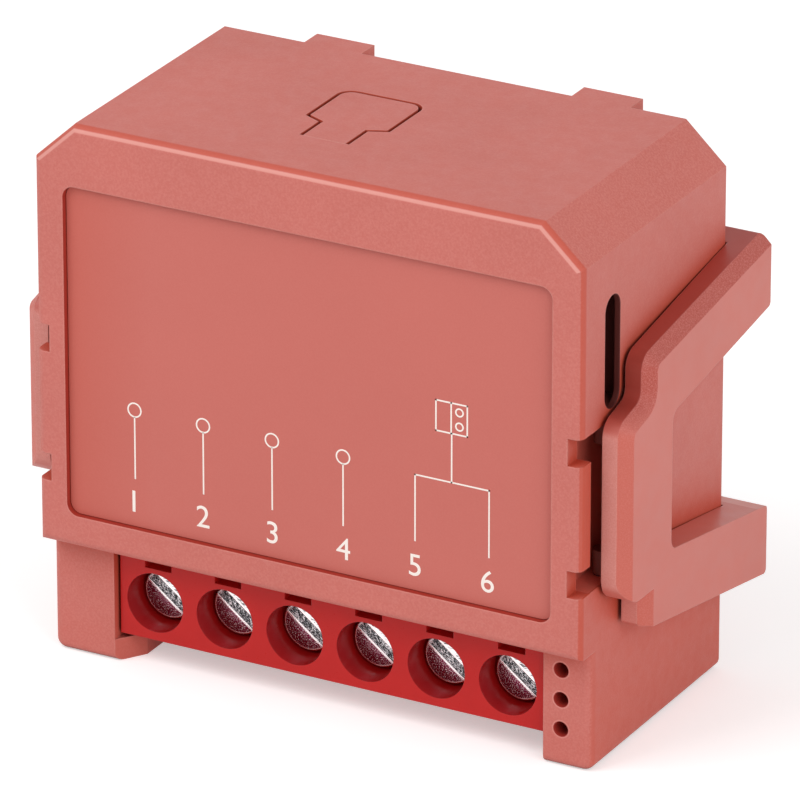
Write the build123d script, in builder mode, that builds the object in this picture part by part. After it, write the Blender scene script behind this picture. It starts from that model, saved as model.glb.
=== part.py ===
"""Garage door controller: a relay module in a coral housing with a six-pole screw terminal.

Frame: +Z up, front face towards -Y, origin at the middle of the bottom of the whole part.
Places are given by X, by the depth behind the front face, and by the height above the feet.
"""
import os
from math import radians, sin

from build123d import *

os.makedirs("parts", exist_ok=True)

# Shared small sizes
overrun = 1.0            # how far a cut runs past the face it starts from
snug = 0.01              # how near an edge must lie to be picked by its place
seat_gap = 0.1           # fit of a fixed piece in its seat
running_gap = 0.05       # radial play of a pin or screw in its hole

# Housing
wall = 1.5
front_wall = 1.6
left_leg_width = 4.4
right_leg_width = 3.35
skirt_height = 8.12      # height of the front plate's bottom edge
skirt_recess = 1.65      # how far the legs stand behind the front plate
corner_run = 2.8         # the cut-off top corners
corner_drop = 2.6
front_edge_radius = 0.55
foot_radius = 0.7
foot_lip = 1.25          # floor lip beside the wire window
foot_lip_run = 1.9

# Label recess and panel
label_side_margin = 2.05
label_top_margin = 4.1
label_bottom_margin = 2.18
label_recess = 0.55
label_thickness = 0.15
label_corner_radius = 0.8
label_gap = 0.05

# Screw terminal
pole_count = 6
pole_pitch = 5.0
terminal_height = 7.72
terminal_lift = 0.38     # above the floor lips
terminal_front_gap = 0.45
terminal_side_gap = 0.2
screw_height = 2.57      # screw axis above the terminal's bottom
screw_hole_rib = 1.0     # between neighbouring holes
screw_sink = 1.75        # screw head behind the terminal's face
screw_head_gap = 0.24
screw_head_length = 1.3
screw_slot_width = 0.62
screw_slot_depth = 0.7
screw_slot_angle = -38
screw_shank_radius = 1.5
screw_web = 0.5
pole_notch_width = 1.9
pole_notch_depth = 0.9
pole_notch_rise = 0.32   # above the screw hole
pole_notch_shift = 0.25  # to the right of it
chamber_rib = 0.8        # between neighbouring chambers
chamber_floor = 0.6
chamber_roof = 1.0
cage_travel = 1.5
cage_end_gap = 0.2
cage_back_gap = 0.2
cage_side_gap = 0.15
cage_nut = 1.2
cage_window = 2.6
cage_floor = 0.7
contact_width = 2.4
contact_thickness = 0.7
contact_tip_gap = 0.1
contact_leg = 0.8
solder_pin_width = 1.0
solder_pin_reach = 1.0   # behind the board
wire_entry_ledge = 0.5
wire_entry_depth = 2.3

# Main board
board_thickness = 1.2
board_side_gap = 0.15
board_top_gap = 2.2
parts_headroom = 0.8     # between the tall parts and the front plate
pin_hole_play = 0.15

# Light holes and their lamps
light_hole_radius = 0.5
light_hole_pitch = 2.0
light_hole_first = 2.55
lamp_side_gap = 0.275
lamp_length = 1.6
lamp_thickness = 0.75
leg_rib = 0.6

# Side vents
vent_depth_place = 3.95
vent_width = 1.95
vent_length = 7.4
vent_drop = 5.55         # its top below the housing's top
vent_wall = 0.4          # wall left around the slots
vent_ease = 0.9

# Clip pockets, notches and trunnion seats
pocket_front = 1.27
pocket_back = 7.2
pocket_low = 12.35
pocket_high = 22.9
pocket_sink = 1.65
pocket_wall = 1.0
notch_sink = 0.95
notch_height = 1.8
trunnion_sink = 0.75     # trunnion axis inside the side face
trunnion_place = 4.2
trunnion_radius = 0.45
trunnion_length = 0.4
trunnion_end_gap = 0.1

# Side clips
clip_proud = 2.125
clip_thickness = 2.05
clip_bevel = 0.75
finger_front = 2.05
finger_bottom = 11.35
finger_top = 23.3
finger_slope_rise = 0.75
bend_place = 5.1
bend_top = 26.75
arm_rise = 2.45
arm_end_height = 4.8
clip_reach = 2.15        # behind the housing's back
jaw_front = 7.95
jaw_top = 22.2
jaw_low = 13.05
foot_end_top = 10.8
foot_end_low = 6.15
step_place = 4.9
step_low = 8.95
finger_radius = 1.2
finger_low_radius = 1.7
bend_radius = 0.8
jaw_radius = 0.8
tip_radius = 0.3
clip_relief = 0.26       # inner face at the front end
hook_reach = 1.75        # hooks behind the back face
hook_gap = 0.2
ear_radius = 0.55

# Press tongue in the top wall
tongue_offset = -1.6
tongue_neck_width = 2.95
tongue_neck_length = 2.57
tongue_shoulder = 0.55
tongue_head_width = 5.4
tongue_head_front = 2.3  # in front of the plunger's axis
tongue_head_rear = 2.8
tongue_corner_radius = 0.8
tongue_slot = 0.25
tongue_post_radius = 0.9

# Back lugs
lug_width = 4.1
lug_reach = 1.9
lug_thickness = 1.8
lug_left_offset = -8.5
lug_right_offset = 10.4
lug_edge_radius = 0.3

# Rear cover
cover_thickness = 1.5
rear_room = 1.7          # between the radio shield and the cover
cover_post_radius = 1.0
cover_bead = 0.3
cover_bead_length = 6.0
cover_bead_width = 0.5
cover_bead_play = 0.05
cover_post_inset = 1.6
rib_width = 3.0
rib_thickness = 1.0
rib_overlap = 0.5

# Relay
part_gap = 0.4
relay_width = 10.2
relay_wall = 0.6
relay_base_thickness = 0.9
relay_base_play = 0.05
relay_end_gap = 2.1      # above the fixed contact
coil_end_gap = 0.6
flange_side_gap = 0.7
flange_thickness = 0.5
winding_rim = 0.2
coil_core_radius = 1.35
coil_tube_wall = 0.4
core_play = 0.05
pole_face_radius = 1.9
pole_face_thickness = 0.4
armature_swing = 4.5
armature_gap = 0.55
armature_side_gap = 0.1
armature_thickness = 0.5
armature_overhang = 0.85 # past the pole face
armature_head_gap = 0.35
yoke_side_gap = 0.8
yoke_thickness = 0.8
yoke_gap = 0.5           # between the coil's flange and the upright
yoke_hinge_gap = 0.05
spring_thickness = 0.2
spring_width = 3.0
spring_stand_off = 0.9   # from the yoke
rivet_radius = 0.7
rivet_length = 0.4
rivet_lever = 4.55       # behind the armature's hinge
rivet_spare_gap = 0.04
relay_pin_radius = 0.35
relay_pin_hole_play = 0.05
fixed_contact_thickness = 0.25
coil_pin_inset = 0.9

# Transformer
transformer_width = 10.0
transformer_length = 9.8
core_end_gap = 2.4       # core inside the bobbin's rails
core_yoke = 1.4
core_leg = 1.0
core_centre_half = 1.3
core_lift = 1.0          # above the board
bobbin_wall = 0.4
bobbin_flange = 0.6
bobbin_play = 0.1
bobbin_end_gap = 0.3
rail_width = 1.5
rail_side_gap = 0.4
winding_inset = 0.3
transformer_pin_radius = 0.3
transformer_pin_inset = 1.25

# Other through-hole parts
lead_radius = 0.25
bulk_radius = 3.15
bulk_lead_pitch = 2.5
can_edge_radius = 0.4
output_can_radius = 2.5
output_can_height = 7.0
output_lead_pitch = 2.0
drum_radius = 1.9
drum_neck_radius = 1.2
drum_height = 5.5
drum_flange = 1.0
drum_lead_pitch = 2.0
varistor_thickness = 2.8
varistor_radius = 3.6
varistor_lift = 1.0
varistor_lead_pitch = 5.0
fuse_radius = 1.4
fuse_length = 6.5
fuse_lead_overhang = 1.0
fuse_lift = 0.3

# Press switch under the tongue
switch_width = 6.0
switch_length = 3.5
switch_height = 3.6
switch_shell_thickness = 0.2
plunger_radius = 0.85
plunger_stroke = 0.25
plunger_place = 1.8      # plunger axis in front of the board
plunger_rise = 1.2       # above the switch body
plunger_sunk = 1.5
plunger_touch_gap = 0.08

# Chips: width, length and height
chip_lead_width = 0.4
chip_lead_reach = 0.55
chip_lead_height = 0.25
converter_size = (4.9, 3.9, 1.5)
regulator_size = (2.9, 1.6, 1.1)
bridge_size = (4.7, 3.9, 1.5)
optocoupler_size = (4.4, 2.6, 2.0)
transistor_size = (2.9, 1.3, 1.0)
diode_size = (2.7, 1.6, 1.1)
passive_width = 1.6
passive_length = 0.8
passive_height = 0.5
passive_pitch_x = 3.0
passive_pitch_z = 1.8
passive_columns = 4
passive_rows = 3
stack_spare = 1.2        # above the tallest row of parts

# Radio module on the back of the board
radio_width = 13.2
radio_length = 10.8
radio_thickness = 0.8
radio_top_gap = 0.3
shield_side_gap = 0.8
shield_height = 1.7
shield_wall = 0.2
shield_low_gap = 0.6
antenna_width = 0.5
antenna_thickness = 0.05
antenna_turns = 5
antenna_height = 2.4

# Sizes of the terminal
screw_hole_radius = (pole_pitch - screw_hole_rib) / 2
screw_head_radius = screw_hole_radius - screw_head_gap
chamber_width = pole_pitch - chamber_rib
wire_entry_width = chamber_width - 2 * wire_entry_ledge
cage_width = chamber_width - 2 * cage_side_gap
cage_side = cage_width / 2 - screw_shank_radius - running_gap
cage_height = 2 * (screw_height - chamber_floor - cage_end_gap)
cage_length = cage_nut + cage_window + cage_floor
cage_room = cage_end_gap + cage_travel + cage_length + cage_back_gap
terminal_depth = screw_sink + screw_head_length + running_gap + screw_web + cage_room
terminal_width = pole_count * pole_pitch
terminal_front = skirt_recess + terminal_front_gap
terminal_low = wall + terminal_lift
terminal_top = terminal_low + terminal_height
row_low = terminal_top + part_gap

# Sizes of the relay and of the chips with their leads
flange_width = relay_width - 2 * (relay_wall + flange_side_gap)
flange_half = flange_width / 2
coil_radius = flange_half - winding_rim
yoke_width = flange_width - 2 * yoke_side_gap
armature_width = yoke_width - 2 * armature_side_gap
coil_offset = relay_wall + coil_end_gap + flange_half
rivet_rise = (rivet_lever + rivet_radius) * sin(radians(armature_swing))
yoke_stack = yoke_gap + yoke_thickness + spring_stand_off + spring_thickness
contact_stack = 2 * rivet_length + rivet_rise + rivet_spare_gap + fixed_contact_thickness
relay_length = coil_offset + flange_half + yoke_stack + contact_stack + relay_end_gap + relay_wall
transistor_length = transistor_size[1] + 2 * chip_lead_reach
diode_length = diode_size[1] + 2 * chip_lead_reach
converter_length = converter_size[1] + 2 * chip_lead_reach
bridge_length = bridge_size[1] + 2 * chip_lead_reach

# The tallest row of parts sets the housing's height, and the stack of layers its depth
relay_row = relay_length + transistor_length + diode_length + 3 * part_gap
bulk_row = 4 * bulk_radius + 2 * output_can_radius + 5 * part_gap
right_row = 2 * varistor_radius + fuse_length + 2 * fuse_lead_overhang + 2 * drum_radius + 5 * part_gap
transformer_row = transformer_length + converter_length + bridge_length + 4 * part_gap
row_height = max(relay_row, bulk_row, right_row, transformer_row) + stack_spare
board_top = row_low + row_height
housing_height = board_top + board_top_gap + wall
board_front = terminal_front + terminal_depth
board_back = board_front + board_thickness
cover_front = board_back + radio_thickness + shield_height + rear_room
housing_depth = cover_front + cover_thickness

# Everything else that follows from the sizes above
overall_depth = housing_depth + clip_reach
bay_width = terminal_width + 2 * terminal_side_gap
housing_width = left_leg_width + bay_width + right_leg_width
half_width = housing_width / 2
cavity_half = half_width - wall
bay_left = -half_width + left_leg_width
bay_right = half_width - right_leg_width
terminal_center = (bay_left + bay_right) / 2
screw_z = terminal_low + screw_height
board_half = cavity_half - board_side_gap
tall_height = board_front - front_wall - parts_headroom
vent_top = housing_height - vent_drop
pocket_floor = half_width - pocket_sink
pocket_inner = pocket_floor - pocket_wall
clip_outer = half_width + clip_proud
clip_inner = clip_outer - clip_thickness
trunnion_x = half_width - trunnion_sink
plunger_depth = board_front - plunger_place
plunger_top = board_top + plunger_rise
tongue_neck_end = plunger_depth - tongue_head_front
tongue_head_end = plunger_depth + tongue_head_rear
tongue_hinge = tongue_neck_end - tongue_neck_length
pole_places = [terminal_center + pole_pitch * (pole - (pole_count - 1) / 2) for pole in range(pole_count)]


def deep(depth):
    """Y of a place this far behind the front face."""
    return depth - overall_depth / 2


def facing_front(depth):
    """Sketch plane seen from the front, with X across and Z up."""
    return Plane.XZ.offset(-deep(depth))


def block(xs, depths, zs, mode=Mode.ADD):
    """Box between two places across, two depths and two heights."""
    with Locations((sum(xs) / 2, deep(sum(depths) / 2), sum(zs) / 2)):
        Box(abs(xs[1] - xs[0]), abs(depths[1] - depths[0]), abs(zs[1] - zs[0]), mode=mode)


def rod(x, z, radius, depths, mode=Mode.ADD):
    """Round bar that runs from front to back."""
    with Locations(Location((x, deep(sum(depths) / 2), z), (90, 0, 0))):
        Cylinder(radius, abs(depths[1] - depths[0]), mode=mode)


def post(x, depth, radius, zs, mode=Mode.ADD):
    """Upright round bar."""
    with Locations((x, deep(depth), sum(zs) / 2)):
        Cylinder(radius, abs(zs[1] - zs[0]), mode=mode)


def about(centre, size):
    """The two ends of a stretch of this size about a centre."""
    return (centre - size / 2, centre + size / 2)


def on_board(height):
    """Depths of a part of this height on the front of the board."""
    return (board_front - height, board_front)


def behind_board(height):
    """Depths of a part of this height on the back of the board."""
    return (board_back, board_back + height)


def housing_outline(low):
    """Corners of the housing seen from the front, from this height up."""
    return [
        (-half_width, low),
        (half_width, low),
        (half_width, housing_height - corner_drop),
        (half_width - corner_run, housing_height),
        (-half_width + corner_run, housing_height),
        (-half_width, housing_height - corner_drop),
    ]


def tongue_outline():
    """Corners of the press tongue seen from above."""
    neck = tongue_neck_width / 2
    head = tongue_head_width / 2
    shoulder = tongue_neck_end + tongue_shoulder
    places = [
        (-neck, tongue_hinge),
        (-neck, tongue_neck_end),
        (-head, shoulder),
        (-head, tongue_head_end),
        (head, tongue_head_end),
        (head, shoulder),
        (neck, tongue_neck_end),
        (neck, tongue_hinge),
    ]
    return [(tongue_offset + x, deep(depth)) for x, depth in places]


notch_spans = [(pocket_low, pocket_low + notch_height), (pocket_high - notch_height, pocket_high)]
light_places = [light_hole_first + light_hole_pitch * count for count in range(3)]
light_x = (bay_right + leg_rib + cavity_half) / 2
lamp_width = cavity_half - bay_right - leg_rib - 2 * lamp_side_gap

# Places of the parts on the board, from left to right and from the terminal up
relay_left = -pocket_inner + part_gap
relay_x = relay_left + relay_width / 2
relay_low = row_low
relay_high = relay_low + relay_length
transformer_left = relay_left + relay_width + part_gap
transformer_x = transformer_left + transformer_width / 2
transformer_z = row_low + transformer_length / 2
bulk_x = transformer_left + transformer_width + part_gap + bulk_radius
bulk_places = [(bulk_x, row_low + bulk_radius), (bulk_x, row_low + 3 * bulk_radius + part_gap)]
right_column_x = pocket_inner - part_gap - varistor_thickness / 2
varistor_z = row_low + varistor_radius
fuse_low = varistor_z + varistor_radius + 2 * part_gap + fuse_lead_overhang
fuse_high = fuse_low + fuse_length
fuse_lead_ends = [fuse_low - fuse_lead_overhang + lead_radius, fuse_high + fuse_lead_overhang - lead_radius]
transistor_place = (
    relay_left + part_gap + transistor_size[0] / 2,
    relay_high + part_gap + transistor_length / 2,
)
diode_place = (transistor_place[0], transistor_place[1] + (transistor_length + diode_length) / 2 + part_gap)
optocoupler_place = (
    transistor_place[0] + (transistor_size[0] + optocoupler_size[0]) / 2 + part_gap,
    relay_high + part_gap + optocoupler_size[1] / 2 + chip_lead_reach,
)
converter_place = (
    transformer_left + part_gap + converter_size[0] / 2,
    row_low + transformer_length + part_gap + converter_length / 2,
)
regulator_place = (
    converter_place[0] + (converter_size[0] + regulator_size[0]) / 2 + part_gap,
    row_low + transformer_length + part_gap + chip_lead_reach + regulator_size[1] / 2,
)
bridge_x = tongue_offset + switch_width / 2 + switch_shell_thickness + part_gap + bridge_size[0] / 2
bridge_place = (bridge_x, board_top - rib_overlap - part_gap - bridge_length / 2)
output_x = bridge_x + bridge_size[0] / 2 + part_gap + output_can_radius
output_z = board_top - rib_overlap - part_gap - output_can_radius
drum_x = output_x + output_can_radius + part_gap + drum_radius
drum_z = board_top - part_gap - drum_radius
passive_x = transformer_x
passive_z = transformer_z
switch_low = board_top - switch_length

# Places inside the relay
relay_front = board_front - tall_height
relay_base_front = board_front - relay_base_thickness
coil_z = relay_low + coil_offset
spring_front = relay_front + relay_wall + armature_head_gap
armature_front = spring_front + spring_thickness
armature_rear = armature_front + armature_thickness
pole_front = armature_rear + armature_gap
front_flange = pole_front + pole_face_thickness + running_gap
yoke_foot_front = relay_base_front - yoke_thickness
rear_flange = yoke_foot_front - flange_thickness
yoke_upright_low = coil_z + flange_half + yoke_gap
yoke_upright_high = yoke_upright_low + yoke_thickness
hinge_depth = armature_rear + yoke_hinge_gap
hinge_z = yoke_upright_low + yoke_thickness / 2
armature_end = hinge_z - coil_z + pole_face_radius + armature_overhang
leaf_low = yoke_upright_high + spring_stand_off
leaf_high = leaf_low + spring_thickness
rivet_depth = hinge_depth + rivet_lever
moving_rivet_end = leaf_high + rivet_length
fixed_rivet_start = moving_rivet_end + rivet_rise + rivet_spare_gap
fixed_plate_low = fixed_rivet_start + rivet_length
fixed_plate_high = fixed_plate_low + fixed_contact_thickness
fixed_pin_z = (fixed_plate_low + fixed_plate_high) / 2
pin_end = board_back + solder_pin_reach
coil_pin_x = flange_half - coil_pin_inset / 2
coil_pin_z = coil_z - flange_half + coil_pin_inset / 2
coil_pin_places = [(relay_x - coil_pin_x, coil_pin_z), (relay_x + coil_pin_x, coil_pin_z)]
relay_pin_places = [*coil_pin_places, (relay_x, hinge_z)]

# Places inside the transformer
core_depth = transformer_length - 2 * core_end_gap
rail_span = transformer_width - 2 * rail_side_gap
core_front = board_front - tall_height
core_rear = board_front - core_lift
core_split = (core_front + core_rear) / 2
window_front = core_front + core_yoke
window_rear = core_rear - core_yoke
window_outer = transformer_width / 2 - core_leg
tube_half_x = core_centre_half + bobbin_play + bobbin_wall
tube_half_z = core_depth / 2 + bobbin_play + bobbin_wall
flange_half_x = window_outer - bobbin_play
flange_half_z = transformer_length / 2 - bobbin_end_gap
rail_outer = transformer_length / 2
pin_step = (transformer_width - 2 * transformer_pin_inset) / 3
transformer_pin_places = [
    (transformer_x + pin_step * (count - 1.5), transformer_z + side * (rail_outer - rail_width / 2))
    for count in range(4)
    for side in (-1, 1)
]

# Places of the radio module
shield_width = radio_width - 2 * shield_side_gap
shield_length = radio_length - 3 * shield_low_gap - antenna_height
radio_x = tongue_offset
radio_high = board_top - radio_top_gap
radio_low = radio_high - radio_length

# Corners of the side clip, by depth and height, with the radius of each
finger_tip = finger_top + finger_slope_rise
arm_top = bend_top + arm_rise
clip_profile = [
    (finger_front, finger_bottom),
    (finger_front, finger_top),
    (bend_place, finger_tip),
    (bend_place, bend_top),
    (overall_depth, arm_top),
    (overall_depth, arm_top - arm_end_height),
    (jaw_front, jaw_top),
    (jaw_front, jaw_low),
    (overall_depth, foot_end_top),
    (overall_depth, foot_end_low),
    (step_place, step_low),
    (step_place, finger_bottom),
]
clip_corner_radii = [
    finger_low_radius, finger_radius, bend_radius, finger_radius, tip_radius, tip_radius,
    jaw_radius, jaw_radius, tip_radius, tip_radius, tip_radius, tip_radius,
]


def clip_face(x):
    """Flat face of the side clip at this place across."""
    with BuildSketch(Plane.YZ.offset(x)) as section:
        with BuildLine():
            corners = [(deep(depth), z) for depth, z in clip_profile]
            FilletPolyline(*corners, radius=clip_corner_radii, close=True)
        make_face()
    return section.sketch


# Housing: one moulded tub, open at the back and around the terminal
with BuildPart() as housing:
    with BuildSketch(facing_front(0)):
        with BuildLine():
            Polyline(*housing_outline(skirt_height), close=True)
        make_face()
    extrude(amount=-housing_depth)
    fillet(housing.faces().sort_by(Axis.Y)[0].edges(), radius=front_edge_radius)
    block((-half_width, half_width), (skirt_recess, housing_depth), (0, skirt_height))
    fillet(housing.edges().filter_by(Axis.Y).group_by(Axis.Z)[0], radius=foot_radius)
    leg_edges = housing.edges().filter_by(Axis.Z)
    leg_edges = leg_edges.filter_by_position(Axis.Y, deep(skirt_recess) - snug, deep(skirt_recess) + snug)
    fillet(leg_edges, radius=front_edge_radius)

    # Main hollow above the terminal row, and the room behind the board below it
    with BuildSketch(facing_front(front_wall)):
        with BuildLine():
            Polyline(*housing_outline(0), close=True)
        make_face()
        offset(amount=-wall, kind=Kind.INTERSECTION, mode=Mode.REPLACE)
        with Locations((0, skirt_height / 2)):
            Rectangle(housing_width, skirt_height, mode=Mode.SUBTRACT)
    extrude(amount=-housing_depth, mode=Mode.SUBTRACT)
    back_room = (board_front, housing_depth + overrun)
    block((-cavity_half, cavity_half), back_room, (wall, skirt_height), mode=Mode.SUBTRACT)

    # Bay of the terminal, the wire window below it and the hollow legs
    bay = (skirt_recess - overrun, board_front)
    block((bay_left, bay_right), bay, (wall, skirt_height), mode=Mode.SUBTRACT)
    with BuildSketch(Plane.XY.offset(-overrun)):
        with BuildLine():
            Polyline(
                (bay_left, deep(skirt_recess - overrun)),
                (bay_left, deep(skirt_recess)),
                (bay_left + foot_lip, deep(skirt_recess + foot_lip_run)),
                (bay_left + foot_lip, deep(board_front)),
                (bay_right, deep(board_front)),
                (bay_right, deep(skirt_recess - overrun)),
                close=True,
            )
        make_face()
    extrude(amount=wall + overrun, mode=Mode.SUBTRACT)
    leg_room = (skirt_recess + wall, board_front)
    block((-cavity_half, bay_left - leg_rib), leg_room, (wall, skirt_height), mode=Mode.SUBTRACT)
    block((bay_right + leg_rib, cavity_half), leg_room, (wall, skirt_height), mode=Mode.SUBTRACT)

    # Clip pockets with their backing, notches and trunnion seats
    for side in (-1, 1):
        backing = (side * pocket_inner, side * cavity_half)
        block(backing, (front_wall, board_front), (pocket_low - wall, pocket_high + wall))
        pocket = (side * pocket_floor, side * (half_width + overrun))
        block(pocket, (pocket_front, pocket_back), (pocket_low, pocket_high), mode=Mode.SUBTRACT)
        notch = (side * (half_width - notch_sink), side * (half_width + overrun))
        for span in notch_spans:
            block(notch, (-overrun, pocket_front), span, mode=Mode.SUBTRACT)
        seat_length = trunnion_length + trunnion_end_gap
        for seat in ((pocket_low - seat_length, pocket_low), (pocket_high, pocket_high + seat_length)):
            post(side * trunnion_x, trunnion_place, trunnion_radius + running_gap, seat, mode=Mode.SUBTRACT)

    # Ribs that hold the top of the board
    for side in (-1, 1):
        rib = about(side * board_half / 2 + tongue_offset, rib_width)
        block(rib, (board_front - rib_thickness, board_front),
              (board_top - rib_overlap, housing_height - wall))

    # Vents through both side walls, thinner around the slots
    with BuildSketch(Plane.YZ):
        with Locations((deep(vent_depth_place), vent_top - vent_length / 2)):
            SlotOverall(vent_length, vent_width, rotation=90)
    extrude(amount=half_width + overrun, both=True, mode=Mode.SUBTRACT)
    for side in (-1, 1):
        thinned = (side * pocket_inner, side * (half_width - vent_wall))
        block(thinned, about(vent_depth_place, vent_width + 2 * vent_ease),
              (vent_top - vent_length, vent_top), mode=Mode.SUBTRACT)

    # Opening around the press tongue, closed at its hinge
    with BuildSketch(Plane.XY.offset(housing_height - wall - overrun)):
        with BuildLine():
            Polyline(*tongue_outline(), close=True)
        make_face()
        fillet(vertices().group_by(Axis.Y)[-1], radius=tongue_corner_radius)
        offset(amount=tongue_slot, kind=Kind.INTERSECTION, mode=Mode.REPLACE)
        with Locations((tongue_offset, deep(tongue_hinge - overrun / 2))):
            Rectangle(tongue_head_width, overrun, mode=Mode.SUBTRACT)
    extrude(amount=wall + 2 * overrun, mode=Mode.SUBTRACT)

    # Label recess and light holes
    label_width = housing_width - 2 * label_side_margin
    label_height = housing_height - skirt_height - label_top_margin - label_bottom_margin
    label_z = skirt_height + label_bottom_margin + label_height / 2
    with BuildSketch(facing_front(0)):
        with Locations((0, label_z)):
            RectangleRounded(label_width, label_height, label_corner_radius)
    extrude(amount=-label_recess, mode=Mode.SUBTRACT)
    for z in light_places:
        through_leg = (skirt_recess - overrun, skirt_recess + wall + snug)
        rod(light_x, z, light_hole_radius, through_leg, mode=Mode.SUBTRACT)

    # Lugs behind the top edge
    for centre in (lug_left_offset, lug_right_offset):
        block(about(centre, lug_width), (housing_depth, housing_depth + lug_reach),
              (housing_height - lug_thickness, housing_height))
    lug_edges = housing.faces().sort_by(Axis.Y)[-1].edges() + housing.faces().sort_by(Axis.Y)[-2].edges()
    fillet(lug_edges, radius=lug_edge_radius)

    # Grooves that the rear cover's beads snap into
    bead_z = board_top / 2
    groove_depths = about(cover_front + cover_thickness / 2, cover_bead_width + 2 * cover_bead_play)
    groove_zs = about(bead_z, cover_bead_length + 2 * cover_bead_play)
    for side in (-1, 1):
        groove = (side * (cavity_half - snug), side * (cavity_half + cover_bead))
        block(groove, groove_depths, groove_zs, mode=Mode.SUBTRACT)
housing.part.label = "housing"
export_step(housing.part, "parts/housing.step")

# Rear cover: a plate inside the back opening, with posts that press on the board
with BuildPart() as rear_cover:
    with BuildSketch(facing_front(cover_front)):
        with BuildLine():
            Polyline(*housing_outline(0), close=True)
        make_face()
        offset(amount=-wall - seat_gap, kind=Kind.INTERSECTION, mode=Mode.REPLACE)
    extrude(amount=-cover_thickness)
    post_x = board_half - cover_post_inset
    post_margin = cover_post_inset + cover_post_radius
    for x in (-post_x, post_x):
        for z in (wall + post_margin, board_top - post_margin):
            rod(x, z, cover_post_radius, (board_back, cover_front))
    for side in (-1, 1):
        bead = (side * (cavity_half - seat_gap), side * (cavity_half + cover_bead - cover_bead_play))
        block(bead, about(cover_front + cover_thickness / 2, cover_bead_width),
              about(bead_z, cover_bead_length))
rear_cover.part.label = "rear_cover"
export_step(rear_cover.part, "parts/rear_cover.step")

# Label panel: a thin plate on the floor of the recess
with BuildPart() as label_panel:
    with BuildSketch(facing_front(label_recess - label_thickness)):
        with Locations((0, label_z)):
            RectangleRounded(label_width - 2 * label_gap, label_height - 2 * label_gap,
                             label_corner_radius - label_gap)
    extrude(amount=-label_thickness)
label_panel.part.label = "label_panel"
export_step(label_panel.part, "parts/label_panel.step")

# Press tongue: neck, head and the post that reaches down to the switch
with BuildPart() as button_tongue:
    with BuildSketch(Plane.XY.offset(housing_height - wall)):
        with BuildLine():
            Polyline(*tongue_outline(), close=True)
        make_face()
        fillet(vertices().group_by(Axis.Y)[-1], radius=tongue_corner_radius)
    extrude(amount=wall)
    post(tongue_offset, plunger_depth, tongue_post_radius,
         (plunger_top + plunger_touch_gap, housing_height - wall))
button_tongue.part.label = "button_tongue"
export_step(button_tongue.part, "parts/button_tongue.step")

# Side clip: its flat profile, bevelled along its front and top
arm_slope = arm_rise / (overall_depth - bend_place)
bevel_path = [
    (finger_front, finger_bottom - overrun),
    (finger_front, finger_top),
    (bend_place, finger_tip),
    (bend_place, bend_top),
    (overall_depth + overrun, arm_top + arm_slope * overrun),
]
bevel_overrun = 0.3


def bevel_section(start):
    """Corner cutter seen along an upright edge of the clip's outer face."""
    with BuildSketch(Plane(origin=start, x_dir=(0, -1, 0), z_dir=(0, 0, 1))) as section:
        with BuildLine():
            Polyline(
                (-clip_bevel - bevel_overrun, bevel_overrun),
                (bevel_overrun, -clip_bevel - bevel_overrun),
                (bevel_overrun, bevel_overrun),
                close=True,
            )
        make_face()
    return section.sketch


with BuildLine(Plane.YZ.offset(clip_outer)) as bevel_line:
    FilletPolyline(*[(deep(depth), z) for depth, z in bevel_path],
                   radius=[finger_radius, bend_radius, finger_radius])
front_start = (clip_outer, deep(finger_front), finger_bottom - overrun)
front_bevel = sweep(bevel_section(front_start), path=bevel_line.wire())
low_start = (clip_outer, deep(step_place), step_low - overrun)
low_bevel = extrude(bevel_section(low_start), amount=finger_bottom - step_low + overrun)


with BuildPart() as clip_right:
    extrude(clip_face(clip_inner), amount=clip_thickness)
    add(front_bevel, mode=Mode.SUBTRACT)
    add(low_bevel, mode=Mode.SUBTRACT)

    # The inner face leans away from the wall towards the front, so that the clip can rock
    with BuildSketch(Plane.XY):
        with BuildLine():
            Polyline(
                (clip_inner, deep(housing_depth - hook_reach)),
                (clip_inner + clip_relief, deep(finger_front)),
                (clip_inner + clip_relief, deep(0)),
                (clip_inner - overrun, deep(0)),
                (clip_inner - overrun, deep(housing_depth - hook_reach)),
                close=True,
            )
        make_face()
    extrude(amount=housing_height, mode=Mode.SUBTRACT)

    # Hooks behind the back face, flush with the ends of the arm and the foot
    with BuildPart(mode=Mode.PRIVATE) as hooks:
        extrude(clip_face(half_width - hook_reach), amount=clip_inner - half_width + hook_reach)
        block((0, clip_outer), (0, housing_depth + hook_gap), (0, housing_height), mode=Mode.SUBTRACT)
    add(hooks.part)

    # Ears that reach into the pocket, each with a trunnion
    for span, pin in (
        ((pocket_low + trunnion_end_gap, pocket_low + notch_height - trunnion_end_gap),
         (pocket_low - trunnion_length, pocket_low + trunnion_end_gap)),
        ((pocket_high - notch_height + trunnion_end_gap, pocket_high - trunnion_end_gap),
         (pocket_high - trunnion_end_gap, pocket_high + trunnion_length)),
    ):
        block((trunnion_x, clip_inner + clip_relief + snug), about(trunnion_place, 2 * ear_radius), span)
        post(trunnion_x, trunnion_place, ear_radius, span)
        post(trunnion_x, trunnion_place, trunnion_radius, pin)
clip_right.part.label = "clip_right"
export_step(clip_right.part, "parts/clip_right.step")

with BuildPart() as clip_left:
    mirror(clip_right.part, about=Plane.YZ)
clip_left.part.label = "clip_left"
export_step(clip_left.part, "parts/clip_left.step")

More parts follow.
